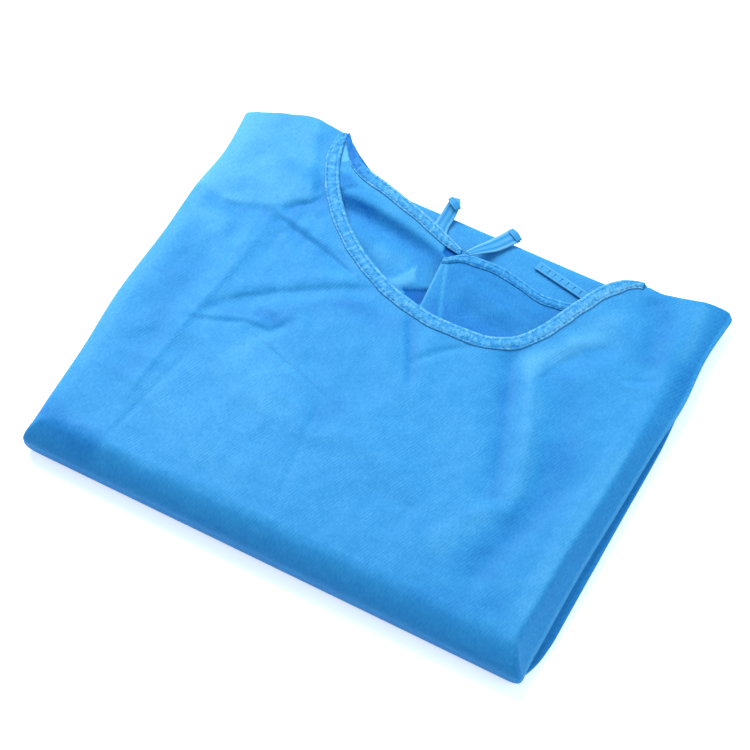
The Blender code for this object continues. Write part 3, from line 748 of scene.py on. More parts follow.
def panel_grid():
    """Points and flat places of the front panel: left roll, top and right slope, from the near
    roll to the far edge."""
    margins = (LEFT_COLUMNS, RIGHT_COLUMNS)
    near = np.pad(np.linspace(0, 1, TOP_COLUMNS), margins, constant_values=(0, 1))
    far = np.pad(neck_shares(TOP_COLUMNS), margins, constant_values=(0, 1))
    left = np.linspace(-LEFT_END, 0, LEFT_COLUMNS + 1)[:-1]
    right = np.linspace(0, RIGHT_END, RIGHT_COLUMNS + 1)[1:]
    side = np.concatenate([left, np.zeros(TOP_COLUMNS), right])
    along = rows_of((-NEAR_END, 0, NEAR_ROWS), (0, 1, TOP_ROWS))
    return panel_surface(near[None, :], far[None, :], side[None, :], along[:, None])


def panel_painted_light(x, y):
    """Painted light of the front panel: a painted highlight on the left shoulder's plateau, along the left
    edge and along its folded right edge, painted shade and highlight along lines, and painted shade
    down the near roll."""
    rim = ease((left_start(y) + 11 - x) / 18) * ease((y - NEAR_START - 20) / 50)
    tint = SHOULDER_PAINTED_HIGHLIGHT * inside(PLATEAU, x, y, PLATEAU_EDGE) + RIM_PAINTED_HIGHLIGHT * rim
    tint = tint + crease_height(PAINTED_SHADES, x, y)
    tint[:, -2:] += FOLD_PAINTED_HIGHLIGHT
    tint[:NEAR_ROWS] -= np.linspace(NEAR_PAINTED_SHADE, 0, NEAR_ROWS)[:, None]
    return tint


def panel_cells(x, rows, columns):
    """Which cells of the front panel are cloth. Beyond its rows and columns lie the strips that
    are turned under: along the shoulders, and along the right edge up from the near roll."""
    keep = np.ones((rows + UNDER_ROWS - 1, columns + UNDER_ROWS - 1), bool)
    on_neck = (x[:-1] > NECK_LEFT - 1) & (x[:-1] < NECK_RIGHT + 1)
    keep[rows - 1:][:, on_neck] = False
    keep[rows - 1:, :LEFT_COLUMNS - 3] = False
    keep[rows - 1:, columns - 1:] = False
    keep[:NEAR_ROWS, columns - 1:] = False
    return keep


def add_front_panel(material):
    """The front panel: over the top, down its near roll and left side, and turned under along
    its right folded edge and its two shoulders."""
    points, flat = panel_grid()
    rows, columns = points.shape[:2]
    tint = panel_painted_light(points[..., 0], points[..., 1])
    shoulder = 1 - ease(np.minimum(points[-1, :, 0] - NECK_LEFT, NECK_RIGHT - points[-1, :, 0]) / 3 + 1)
    pulled = ease(np.linspace(0, 1, 6))[:, None, None] * (0, SHOULDER_FOLD, 0)
    points[-6:] = points[-6:] - pulled * shoulder[None, :, None]
    grown = ease((np.arange(rows) - NEAR_ROWS) / 12)
    lower = turned_under(points[:, -1], points[:, -3], RIGHT_FOLD * grown + 0.01, RIGHT_TAIL * grown + 0.01)
    points = np.concatenate([points, np.moveaxis(lower, 0, 1)], axis=1)
    under = turned_under(points[-1], points[-3], SHOULDER_FOLD, SHOULDER_TAIL)
    points = np.concatenate([points, under], axis=0)
    points[..., 2] = np.maximum(points[..., 2], SHELL)
    step = np.arange(1, UNDER_ROWS + 1) * UNDER_STEP
    flat = np.concatenate([flat, flat[:, -1:] + step[None, :, None] * (1, 0)], axis=1)
    flat = np.concatenate([flat, flat[-1:] + step[:, None, None] * (0, 1)], axis=0)
    tint = np.pad(tint, ((0, UNDER_ROWS), (0, UNDER_ROWS)), mode="edge")
    keep = panel_cells(points[rows - 1, :, 0], rows, columns)
    piece = grid_object("front_panel_cloth", points, flat, tint, keep)
    drop_loose(piece)
    thicken(piece, SHELL)
    return finish_piece(piece, material, "cloth", "front_panel")


def layer_top(x, y):
    """Upper face of the folded layers, under the front panel and lower in the neck."""
    covered = top_height(x, y) - PANEL_WALL - LAYER_GAP
    floor = read(NECK_FLOOR, "x", "z", x) + noise_field(x, y, 30, 1.7) * 0.5
    outside = ease((neck_distance(x, y) - NECK_CLEAR) / NECK_RAMP)
    return np.minimum(floor, covered) * (1 - outside) + covered * outside


# The sides of the folded layers, from their top (r 0) to the floor (r 1): a step outward from
# the edge in millimetres and a share of the height. Each swell is the edge of one fold
LEFT_LIPS = table(
    "r out share",
    (0.50, -2.4, 1.0), (0.54, -0.9, 0.96), (0.60, -0.2, 0.80), (0.66, -0.8, 0.66),
    (0.70, -2.4, 0.60), (0.74, -1.0, 0.52), (0.80, -0.5, 0.40), (0.85, -1.4, 0.31),
    (0.88, -2.8, 0.27), (0.93, -1.2, 0.18), (1.00, -2.2, 0.0),
)
RIGHT_LIPS = table(
    "r out share",
    (0.40, -8.0, 0.90), (0.45, -4.4, 0.83), (0.52, -0.7, 0.76), (0.58, 0.0, 0.66),
    (0.64, -0.6, 0.57), (0.68, -2.6, 0.53), (0.72, -1.0, 0.47), (0.78, -0.6, 0.36),
    (0.83, -1.3, 0.28), (0.87, -3.0, 0.25), (0.92, -1.2, 0.16), (1.00, -2.0, 0.0),
)
FAR_LIPS = table(
    "r out share",
    (0.00, -8.0, 1.0), (0.15, -5.2, 0.985), (0.30, -2.6, 0.92), (0.42, -0.8, 0.81),
    (0.52, 0.0, 0.67), (0.60, -0.4, 0.56), (0.66, -2.4, 0.50), (0.72, -0.9, 0.42),
    (0.80, -0.6, 0.28), (0.86, -2.4, 0.22), (0.92, -1.0, 0.13), (1.00, -1.8, 0.0),
)


# How far the layers follow the panel's rolls before they leave them: t on the near roll at its
# foot, and t at the first swell on the left and on the right
NEAR_DEEPEST = 1.78 / 0.96
LEFT_DEEPEST = 1.05
RIGHT_DEEPEST = 0.9


def inside_profile(profile, t, reach, drop):
    """A profile's point moved inward by the wall and the seam gap: reach and drop."""
    step = 0.02
    ahead = roll(profile, t + step, reach, drop)
    behind = roll(profile, t - step, reach, drop)
    run, fall = ahead[0] - behind[0], ahead[1] - behind[1]
    length = np.hypot(run, fall)
    inset = PANEL_WALL + SEAM_GAP
    here = roll(profile, t, reach, drop)
    return here[0] - inset * fall / length, here[1] + inset * run / length


def near_side(r, x, y):
    """Step outward and height at r down the near side of the layers. The three sides below give
    the same for theirs."""
    top = top_height(x, y)
    if r == 1:
        return near_depth(x) * NEAR_ROLL["reach"][-1] - PANEL_WALL - LAYER_GAP, np.zeros(x.shape)
    reach, drop = inside_profile(NEAR_ROLL, NEAR_DEEPEST * r, near_depth(x), top)
    return reach, top - drop


def lip(lips, r, along, size, seed, rough):
    """Step outward and share of the height at r on one side, uneven along it."""
    wave = noise_field(along, along * 0 + 60 * r, size, seed) * rough
    return read(lips, "r", "out", r) + wave, read(lips, "r", "share", r)


def left_side(r, x, y):
    top = top_height(x, y)
    if r < LEFT_LIPS["r"][0]:
        share = LEFT_DEEPEST * r / LEFT_LIPS["r"][0]
        reach, drop = inside_profile(LEFT_ROLL, share, LEFT_REACH, top)
        return reach, top - drop
    out, share = lip(LEFT_LIPS, r, y, 22, 4.4, 0.9)
    return LEFT_REACH + out, (top * (1 - LEFT_ROLL["drop"][-1]) - 0.6) * share


def right_side(r, x, y):
    top = top_height(x, y)
    slope, fold = section("slope", y), section("z_fold", y)
    if r < RIGHT_LIPS["r"][0]:
        share = RIGHT_DEEPEST * r / RIGHT_LIPS["r"][0]
        reach, drop = inside_profile(RIGHT_SLOPE, share, slope, top - fold - PANEL_WALL)
        return reach, top - drop
    out, share = lip(RIGHT_LIPS, r, y, 26, 6.4, 0.8 * ease((r - 0.6) / 0.1))
    return section("layer", y) - right_start(y) + out, (fold - 0.3) * share


def far_side(r, x, y):
    out, share = lip(FAR_LIPS, r, x, 26, 2.4, 0.9 * ease((r - 0.6) / 0.1))
    return FAR_ROUND + out, layer_top(x, y) * share


def far_start(x):
    return read(FAR_LAYER, "x", "y", x) - FAR_ROUND


def layer_cap():
    """Plan of the upper face of the folded layers, finer along its rim."""
    across = rows_of((0, 0.05, CAP_RIM), (0.05, 0.95, CAP_COLUMNS), (0.95, 1, CAP_RIM))[None, :]
    along = rows_of((0, 0.06, CAP_RIM), (0.06, 0.94, CAP_ROWS), (0.94, 1, CAP_RIM))[:, None]
    first, last = far_span()
    x_far = first + across * (last - first)
    y = NEAR_START + along * (far_start(x_far) - NEAR_START)
    return left_start(y) + across * (right_start(y) - left_start(y)), y


SIDES = {"near": (near_side, -1), "right": (right_side, 1), "far": (far_side, 1), "left": (left_side, -1)}


def layer_ring(r, x, y, side):
    """Points of one ring along one side: near, right, far or left."""
    gaps = {"near": y - NEAR_START, "far": far_start(x) - y, "left": x - left_start(y)}
    gaps["right"] = right_start(y) - x
    profile, sign = SIDES[side]
    first, second = ("left", "right") if side in ("near", "far") else ("near", "far")
    lean = {name: np.clip(1 - np.maximum(gaps[name], 0) / CORNER_REACH, 0, 1) for name in (first, second)}
    reach, z = profile(r, x, y)
    turn = np.maximum(lean[first], lean[second])
    nearer = lean[first] >= lean[second]
    other, other_z = (np.where(nearer, a, b) for a, b in zip(
        SIDES[first][0](r, x, y), SIDES[second][0](r, x, y)))
    other = other * np.where(nearer, SIDES[first][1], SIDES[second][1])
    share = 1 / (1 + turn ** CORNER_POWER)
    size = (1 + turn ** CORNER_POWER) ** (1 / CORNER_POWER) / (1 - 0.16 * turn)
    main, cross = reach / size * sign, other * turn / size
    height = z * share + other_z * (1 - share)
    if side in ("near", "far"):
        return np.stack([x + cross, y + main, height], axis=-1)
    return np.stack([x + main, y + cross, height], axis=-1)


# Middle of the painted shade behind the left shoulder, where the layers look deep blue
SHADE_BEHIND_SHOULDER = (-98.0, 152.0)


def layers_painted_shade(place):
    """Painted shade on the folded layers: deep behind the left shoulder, and darker under the right folded
    edge.
    """
    x, y = place[:, 0], place[:, 1]
    behind = np.hypot((x - SHADE_BEHIND_SHOULDER[0]) / 26, (y - SHADE_BEHIND_SHOULDER[1]) / 18)
    under = ease((x - section("right", y) + 8) / 4)
    return -1.3 * (1 - ease(behind)) - 0.3 * under


def add_folded_layers(material):
    """The skirt, sleeves and sides folded under the front: one body with the edges of its folds."""
    x, y = layer_cap()
    index, quads = grid_quads(*x.shape)
    cap = np.stack([x, y, layer_top(x, y)], axis=-1).reshape(-1, 3)
    sides = (
        ("near", index[0, :], (0, -1)),
        ("right", index[1:, -1], (1, 0)),
        ("far", index[-1, -2::-1], (0, 1)),
        ("left", index[-2:0:-1, 0], (-1, 0)),
    )
    points, flat = [cap], [cap[:, :2]]
    faces = quads.reshape(-1, 4).tolist()
    last = np.concatenate([cells for _, cells, _ in sides])
    start, x, y = x.size, x.ravel(), y.ravel()
    for r in np.linspace(0, 1, LAYER_RINGS + 1)[1:]:
        points += [layer_ring(r, x[cells], y[cells], side) for side, cells, _ in sides]
        flat += [cap[:, :2][cells] + np.array(way) * LAYER_CLOTH * r for _, cells, way in sides]
        loop = np.arange(start, start + last.size)
        faces += np.stack([loop, np.roll(loop, -1), np.roll(last, -1), last], axis=-1).tolist()
        last, start = loop, start + last.size
    faces.append(last[::-1].tolist())
    points = np.concatenate(points)
    mesh = cloth_mesh("folded_layers_cloth", points, np.concatenate(flat), faces)
    piece = new_object("folded_layers_cloth", mesh, layers_painted_shade(points))
    return finish_piece(piece, material, "cloth", "folded_layers")


def stations(rows, names, at):
    """Columns of a table whose rows are evenly spread, at shares along them."""
    keys = np.linspace(0, 1, len(rows[names[0]]))
    return np.stack([curve(keys, rows[name], at) for name in names], axis=-1)


def back_row(rows, along, distance):
    """Upper face of a back panel at shares along its bound edge and a distance inward from it."""
    far = stations(rows, ("far_x", "far_y", "far_z"), along)
    near = stations(rows, ("near_x", "near_y", "near_z"), along)
    length = np.hypot(near[:, 0] - far[:, 0], near[:, 1] - far[:, 1])
    down = np.minimum(distance / length, 1)
    level, narrows, slope = RIDGE_LEFT if rows is BACK_LEFT else RIDGE_RIGHT
    fall = ease((down * length - level + narrows * along) / slope)
    point = far * (1 - down[:, None]) + near * down[:, None]
    point[:, 2] = far[:, 2] * (1 - fall) + near[:, 2] * fall
    return point


def grid_normals(points):
    """Unit normals of a grid of points, upward where it lies flat."""
    return upward(np.cross(np.gradient(points, axis=1), np.gradient(points, axis=0)))


def even_shares(line_at, step):
    """Shares from 0 to 1 that are this far apart along a line, and their distances along it."""
    shares = np.linspace(0, 1, 800)
    run = distances(line_at(shares))
    at = np.linspace(0, run[-1], max(3, int(run[-1] / step) + 1))
    return np.interp(at, run, shares), at


# Creases of the two back panels, as in CREASES
LEFT_CREASES = (
    (-0.8, 4.0, 8.0, ((-93, 113), (-61, 108), (-43, 104), (-26, 102), (-6, 97))),
    (1.0, 2.0, 5.0, ((-112, 139), (-100, 134), (-86, 130))),
    (-0.7, 1.6, 3.0, ((-108, 119), (-97, 117), (-91, 123), (-84, 129))),
    (0.7, 1.2, 1.2, ((-102, 131), (-94, 134), (-84, 136))),
    (1.3, 9.0, 11.0, ((-90, 96), (-60, 88), (-30, 84))),
    (-0.7, 3.0, 4.0, ((-74, 84), (-50, 74), (-34, 62))),
)
RIGHT_CREASES = (
    (0.9, 6.0, 9.0, ((12, 88), (34, 84), (58, 74))),
    (-1.2, 7.0, 7.0, ((18, 70), (46, 64), (74, 70))),
    (0.6, 4.0, 4.0, ((40, 102), (56, 92), (78, 90))),
    (-0.8, 5.0, 5.0, ((10, 98), (34, 98), (62, 90))),
)

# Painted shade (less than nothing) and painted highlight on the left back panel, along lines as on the front
# panel
LEFT_PAINTED_SHADES = (
    (0.45, 8.0, 8.0, ((-58, 88), (-40, 81), (-24, 84))),
    (-0.50, 7.0, 7.0, ((-110, 132), (-94, 123), (-80, 116), (-60, 110))),
)

# Corners of small places in the neck: a deep pocket beside the centre back, the gap where the two
# back panels meet, the bright fold next to the pocket, and the bright corner of cloth at the left
# shoulder with the shade below it; the corner and that shade are painted highlight and painted shade only
POCKET = ((-21, 64), (-12, 69), (-1, 74), (1, 66), (-5, 56), (-12, 59))
GAP = ((-8.3, 103), (-9.5, 111), (-2.4, 115.5), (3.7, 110), (-3.4, 100))
BRIGHT_FOLD = ((-36, 62), (-28, 71), (-20, 86), (-15, 73), (-24, 63))
SHOULDER_CORNER = ((-115, 158), (-110.5, 139.5), (-103, 145.5), (-90, 137.5), (-101, 147.5))
SHOULDER_SHADE = ((-108, 131), (-98, 133), (-89, 126), (-97, 117), (-108, 119))

# How far those places rise (less than nothing: sink), and the painted highlight (more than nothing)
# and painted shade they get, each with the width of its soft edge, and the deep painted shade of the
# pocket and the gap
PLACE_RISES = ((POCKET, -1.5, 2.0), (GAP, -1.5, 2.0), (BRIGHT_FOLD, 0.9, 5.0))
PLACE_PAINTED_LIGHT = ((BRIGHT_FOLD, 0.9, 4.0), (SHOULDER_CORNER, 1.6, 2.0), (SHOULDER_SHADE, -0.35, 4.0))
POCKET_PAINTED_SHADE = -1.5

# The folded hem along the centre back, wider toward the front: its width at the bound edge, how
# much it gains for each millimetre inward, and how far it stands up
HEM_WIDTH = 3.5
HEM_SPREADS = 0.19
HEM_RISE = 0.5


def back_surface(rows, shares, creases):
    """Upper face of a back panel and its flat places: fine rows along the tape, then on to the
    edge that lies under the front panel."""
    far = stations(rows, ("far_x", "far_y"), shares)
    length = np.hypot(*(stations(rows, ("near_x", "near_y"), shares) - far).T)
    inward = [np.full(length.size, distance) for distance in np.linspace(0, TAPE_WIDTH, BACK_TAPE_ROWS)]
    for part in np.linspace(0, 1, BACK_ROWS + 1)[1:]:
        distance = TAPE_WIDTH + part * (length - TAPE_WIDTH)
        inward.append(np.maximum(distance, TAPE_WIDTH * (1 + 0.01 * part)))
    points = np.array([back_row(rows, shares, distance) for distance in inward])
    places = np.stack(np.broadcast_arrays(distances(far), np.array(inward)), axis=-1)
    x, y = points[..., 0], points[..., 1]
    fine = crease_height(creases, x, y) + noise_field(x, y, 24, 9.1) * 0.5 + noise_field(x, y, 8, 7.7) * 0.12
    points[..., 2] += fine * ease((places[..., 1] - TAPE_WIDTH) / TAPE_WIDTH)
    return points, places


def left_back_painted_light(points, flat, shares):
    """Painted light of the left back panel: a little deeper all over, a painted shadow under its ridge
    and a painted highlight on it, painted shade and highlight along lines and on small places, and deep
    painted shade in its pocket and gap.
    """
    x, y = points[..., 0], points[..., 1]
    foot = RIDGE_LEFT[0] - RIDGE_LEFT[1] * shares[None, :] + RIDGE_LEFT[2] * 0.4
    below = flat[..., 1] - foot
    shadow = np.exp(-(below / np.where(below < 0, 1.8, 12.0)) ** 2)
    tint = -0.12 - 0.60 * shadow * ease(shares[None, :] / 0.2) + crease_height(LEFT_PAINTED_SHADES, x, y)
    tint = tint + 0.35 * ease(-below / 5) * ease(shares[None, :] / 0.3) + place_height(PLACE_PAINTED_LIGHT, x, y)
    deep = np.maximum(polygon_depth(POCKET, x, y), polygon_depth(GAP, x, y)) > 0
    return np.where(deep, POCKET_PAINTED_SHADE, tint)


def right_back_painted_light(points, hem):
    """The right back panel lies in painted shade, deeper toward its near side, with two painted
    highlights along its hem.
    """
    lines = np.exp(-(hem[0] / 1.0) ** 2) + np.exp(-(hem[1] / 1.0) ** 2)
    low = ease((74 - points[..., 1]) / 16)
    return lines * 1.0 - 0.45 * ease(hem[0] / 12) - 0.3 * low


def add_back_panel(name, rows, creases, material):
    """A back panel, bound along its neckline, with its near edge under the front panel."""
    shares, run = even_shares(lambda share: back_row(rows, share, 0.0), BACK_STEP)
    points, flat = back_surface(rows, shares, creases)
    if name == "back_panel_right":
        hem = run[None, :], run[None, :] - HEM_WIDTH - HEM_SPREADS * flat[..., 1]
        points[..., 2] += HEM_RISE * ease(-hem[1] / 1.2)
        tint = right_back_painted_light(points, hem)
    else:
        tint = left_back_painted_light(points, flat, shares)
        points[..., 2] += place_height(PLACE_RISES, points[..., 0], points[..., 1])
    piece = grid_object(name + "_cloth", points[:, ::-1], flat[:, ::-1], tint[:, ::-1])
    thicken(piece, SHELL)
    return finish_piece(piece, material, "inner_cloth", name)


# Section of a tape folded over a cloth edge, from its inner border over the edge to its border
# below: distance inward from the cloth's edge and height above the cloth's face
BINDING_SECTION = table(
    "inward height",
    (10.0, 0.12), (9.7, 0.47), (9.0, 0.58), (8.3, 0.68), (7.3, 0.87), (6.0, 0.98), (4.6, 1.00),
    (3.2, 0.92), (2.0, 0.70), (1.1, 0.82), (0.2, 0.78), (-0.5, 0.35), (-0.8, -0.35), (-0.5, -1.10),
    (0.6, -1.30), (4.0, -1.35), (9.0, -1.30),
)
STITCH_ROWS = (8.3, 2.0)

# Rows of that section on the tape's upper face
UPPER_FACE = 11

# Tints of each tape: of its body, added along its borders, along its sewn rows as painted shade and
# at its first end, the distance over which that one fades, and added along its inner half past
# INNER_FROM. The first end is painted shade on the left back tape; on the front tape the first end
# and the inner half make a painted highlight of its right part
INNER_FROM = 225.0
TAPE_TINTS = {
    "neck_binding_front": (0.14, 0.45, -0.35, -0.10, 230.0, 0.65),
    "neck_binding_back_left": (0.20, 0.55, -0.25, -2.2, 60.0, 0.0),
    "neck_binding_back_right": (-0.15, 0.35, -0.80, 0.5, 20.0, 0.0),
}

# Share of the full width that the front tape has, and what it loses at its first and last end
FRONT_TAPE = (0.93, 0.4, 0.5)

# How the tape of each back panel widens from its first end: its share of the full width, how much
# of that it has at that end, and the distance over which it widens
BACK_TAPES = {
    "neck_binding_back_left": (0.85, 0.52, 40.0),
    "neck_binding_back_right": (0.66, 0.6, 22.0),
}

# A stitch from end to end: the radius of its thread and its height above the tape
STITCH_SHAPE = table(
    "share radius lift",
    (0.0, 0.15, -0.15), (0.12, 0.36, 0.08), (0.5, 0.42, 0.12), (0.88, 0.36, 0.08),
    (1.0, 0.15, -0.15),
)


def binding_surface(base_at, up, at, width):
    """Points of a tape over an edge. base_at gives the cloth's points at distances inward, up the
    cloth's normals along the edge, at the distance run along it, and width the tape's share of
    its full width there."""
    wave = 2 * np.pi * at / STITCH_PITCH
    edge, inner = base_at(np.zeros(at.size)), base_at(np.ones(at.size))
    columns = []
    for inward, height in zip(*BINDING_SECTION.values()):
        base = base_at(inward * width) if inward >= 0 else edge + (edge - inner) * -inward
        if height > 0 and inward > 0:
            row = min(abs(inward - place) for place in STITCH_ROWS)
            pull = math.exp(-(row / 0.9) ** 2)
            height = height - 0.30 * pull * (0.5 + 0.5 * np.cos(wave))
            uneven = 0.5 if inward < 9 else 0.1
            bumps = [noise.noise(Vector((run / 4.2, inward / 3.6, 2.2))) for run in at]
            height = height + uneven * np.array(bumps)
        if inward > 9:
            base = base + (inner - edge) * 0.25 * np.sin(at / 3.7 + 1.3 * np.sin(at / 23))[:, None]
        columns.append(base + up * np.broadcast_to(height, at.shape)[:, None])
    return np.array(columns)


def binding_tint(at, body, borders, sewn, end, reach, inner):
    """Tint of a tape: of its body, added along its two borders, painted shade along its sewn rows, the
    tint of its first end, and a painted highlight along its inner half past INNER_FROM."""
    inward = BINDING_SECTION["inward"]
    rims = np.exp(-((inward - 9.6) / 0.6) ** 2) + np.exp(-((inward - 0.4) / 1.0) ** 2)
    rows = sum(np.exp(-((inward - row) / 0.7) ** 2) for row in STITCH_ROWS)
    start = end * (1 - ease(at / reach)[None, :]) * (inward < 9.2)[:, None]
    half = inner * ease((at - INNER_FROM) / 70)[None, :] * ease((inward - 4.5) / 3)[:, None]
    return (body + borders * rims + sewn * rows)[:, None] + start + half


def tube_object(name, tubes, tint):
    """Closed tubes, each through its rings of points, as one object."""
    mesh = bmesh.new()
    for tube in tubes:
        rings = [[mesh.verts.new(tuple(point * MM)) for point in ring] for ring in tube]
        for first, second in zip(rings, rings[1:]):
            for k in range(len(first)):
                after = (k + 1) % len(first)
                mesh.faces.new((first[k], first[after], second[after], second[k]))
        mesh.faces.new(rings[0][::-1])
        mesh.faces.new(rings[-1])
    bmesh.ops.recalc_face_normals(mesh, faces=mesh.faces)
    data = bpy.data.meshes.new(name)
    mesh.to_mesh(data)
    mesh.free()
    return new_object(name, data, tint)


def pick(values, at, place):
    """A row of values, known at distances along a line, at a place on it."""
    return np.array([np.interp(place, at, column) for column in values.T])


def stitch(start, middle, end, up):
    """Rings of a stitch: a short thick thread that dips into the cloth at both ends."""
    along = unit(end - start)
    across = unit(np.cross(up, along))
    turns = np.linspace(0, 2 * math.pi, STITCH_SIDES + 1)[:-1]
    rings = []
    for share, radius, lift in zip(*STITCH_SHAPE.values()):
        centre = start * (1 - share) ** 2 + middle * 2 * share * (1 - share) + end * share ** 2 + up * lift
        rings.append([centre + (across * math.cos(turn) + up * math.sin(turn)) * radius for turn in turns])
    return rings


def row_stitches(line, up, at):
    """Every stitch of a row along a line of points."""
    half = STITCH_LENGTH / 2
    return [
        stitch(*(pick(line, at, centre + step) for step in (-half, 0, half)), pick(up, at, centre))
        for centre in np.arange(STITCH_PITCH / 2, at[-1], STITCH_PITCH)
    ]


def add_binding(name, base_at, up, at, width, tape, thread):
    """A tape folded over a bound edge, with its two rows of stitches."""
    points = binding_surface(base_at, up, at, width)
    flat = np.stack(np.broadcast_arrays(at[None, :], distances(points[:, 0])[:, None]), axis=-1)
    tint = binding_tint(at, *TAPE_TINTS[name])
    piece = grid_object(name + "_tape", points[:, ::-1], flat[:, ::-1], tint[:, ::-1])
    thicken(piece, TAPE_THICK)
    finish_piece(piece, tape, "tape", name)
    inward, height = (column[UPPER_FACE - 1::-1] for column in BINDING_SECTION.values())
    sewn = []
    for row in STITCH_ROWS:
        lift = np.interp(row, inward, height) + 0.05
        sewn += row_stitches(base_at(row * width) + up * lift, up, at)
    stitches = tube_object(name + "_stitches", sewn, 0.0)
    return [piece, finish_piece(stitches, thread, "tape")]


def right_of(line):
    """Level unit vectors to the right of a line of points."""
    run = np.gradient(line, axis=0)
    return unit(np.stack([run[:, 1], -run[:, 0], np.zeros(len(run))], axis=-1))


def add_front_binding(tape, thread):
    """The binding of the front neckline."""
    def edge_at(shares):
        x = NECK_LEFT + shares * (NECK_RIGHT - NECK_LEFT)
        return np.column_stack([x, read(FAR_EDGE, "x", "y", x), np.zeros(x.size)])

    shares, at = even_shares(edge_at, STITCH_PITCH / 4)
    edge = edge_at(shares)
    outward = right_of(edge)

    def base_at(distance):
        line = edge + outward * distance[:, None]
        line[:, 2] = surface_height(line[:, 0], line[:, 1])
        return line

    up = grid_normals(np.array([base_at(np.full(at.size, d)) for d in (0.0, 3.0, 6.0)]))[1]
    full, first, last = FRONT_TAPE
    width = full - first * (1 - ease(at / TAPE_TAPER)) - last * (1 - ease((at[-1] - at) / TAPE_TAPER))
    return add_binding("neck_binding_front", base_at, up, at, width, tape, thread)


def add_back_binding(rows, name, tape, thread):
    """The binding along the neckline of a back panel."""
    shares, at = even_shares(lambda share: back_row(rows, share, 0.0), STITCH_PITCH / 4)
    base_at = lambda distance: back_row(rows, shares, distance)
    up = grid_normals(np.array([base_at(distance) for distance in (0.0, 3.0, 6.0)]))[1]
    share, start, reach = BACK_TAPES[name]
    width = start + (1 - start) * ease(at / reach)
    width = share * width * (0.5 + 0.5 * ease((at[-1] - at) / TAPE_TAPER))
    return add_binding(name, base_at, up, at, width, tape, thread)


def tape_line(route):
    """Middle line, unit side vectors, unit normals and widths along a loose tape, and the
    distances along it."""
    shares, at = even_shares(lambda share: stations(route, "xyz", share), LOOSE_STEP)
    line = stations(route, "xyz", shares)
    side = right_of(line)
    up = unit(np.cross(side, np.gradient(line, axis=0)))
    return line, side, up, stations(route, ["width"], shares)[:, 0], at


# Section of a loose tape, a strip folded in three: place across its width and height above its
# middle, for the upper and then the lower face
TIE_SECTION = table(
    "across height",
    (-0.50, 0.0), (-0.49, 0.45), (-0.40, 0.62), (-0.22, 0.42), (-0.05, 0.60), (0.12, 0.62),
    (0.22, 0.36), (0.40, 0.60), (0.49, 0.42), (0.50, 0.0), (0.48, -0.45), (0.25, -0.55),
    (0.0, -0.55), (-0.25, -0.55), (-0.48, -0.45),
)


def add_loose_tape(tape, name, route, tint, folds, tilt, *nodes):
    """A free end of tape, folded in three along its length."""
    line, side, up, width, at = tape_line(route)
    side = side + (0, 0, tilt)
    across, height = TIE_SECTION.values()
    rings = []
    for point, out, normal, wide, run in zip(line, side, up, width, at):
        uneven = [0.12 * noise.noise(Vector((run / 4, place * 3, 1.1))) for place in across]
        rings.append(point + out * (across * wide)[:, None] + normal * (height + uneven)[:, None])
    borders, groove = np.abs(across) > 0.38, np.abs(np.abs(across) - 0.22) < 0.02
    # Paler borders, and painted shade in the grooves of the folds
    shades = tint + folds * (0.7 * borders - 0.9 * groove)
    piece = tube_object(name, [rings], np.tile(shades, len(rings)))
    return finish_piece(piece, tape, "tape", *nodes)


def add_cross_stitches(name, route, spacing, material):
    """Raised stitches sewn across a loose tape."""
    line, side, up, _, at = tape_line(route)
    sewn = []
    for centre in np.arange(spacing * 0.6, at[-1] - 1, spacing):
        uneven = math.sin(centre * 1.7)
        normal = pick(up, at, centre)
        middle = pick(line, at, centre + 0.7 * uneven) + normal * (0.66 + 0.08 * uneven)
        reach = pick(side, at, centre) * (2.4 + 0.5 * uneven)
        sewn.append(stitch(middle - reach, middle, middle + reach, normal))
    return finish_piece(tube_object(name, sewn, 0.6), material, "tape")


def new_material(name, color, roughness, sheen, more=()):
    """Material with its uniform values on the shader itself."""
    values = {
        "Base Color": color,
        "Roughness": roughness,
        "Metallic": 0.0,
        "Specular IOR Level": 0.14,
        "Sheen Weight": sheen,
        "Sheen Roughness": 0.45,
        "Sheen Tint": (0.75, 0.90, 1.0, 1.0),
    }
    values.update(more)
    material = bpy.data.materials.new(name)
    material.use_nodes = True
    for socket, value in values.items():
        material.node_tree.nodes["Principled BSDF"].inputs[socket].default_value = value
    return material


def dressed(material, color, normal):
    """The material with this colour and normal on its shader."""
    shader = material.node_tree.nodes["Principled BSDF"]
    material.node_tree.links.new(color, shader.inputs["Base Color"])
    material.node_tree.links.new(normal, shader.inputs["Normal"])
    return material


def add_node(tree, kind, inputs=(), **settings):
    """A node with its settings and the default values of its inputs."""
    node = tree.nodes.new(kind)
    for key, value in settings.items():
        setattr(node, key, value)
    for key, value in dict(inputs).items():
        node.inputs[key].default_value = value
    return node


def cloth_place(tree, angle=0.0):
    """The flat place in the cloth, in millimetres, turned by an angle in degrees."""
    place = add_node(tree, "ShaderNodeUVMap", uv_map="flat")
    turned = add_node(tree, "ShaderNodeMapping", {"Scale": (1000, 1000, 1000)})
    turned.inputs["Rotation"].default_value = (0, 0, math.radians(angle))
    tree.links.new(place.outputs["UV"], turned.inputs["Vector"])
    return turned.outputs["Vector"]


def bond_rows(tree, angle, pitch):
    """Soft stripes across the cloth at an angle, this many millimetres apart."""
    wave = add_node(tree, "ShaderNodeTexWave", {"Scale": math.pi / 10 / pitch, "Distortion": 0.0},
                    wave_type="BANDS", bands_direction="X", wave_profile="SIN")
    tree.links.new(cloth_place(tree, angle), wave.inputs["Vector"])
    return wave.outputs["Fac"]


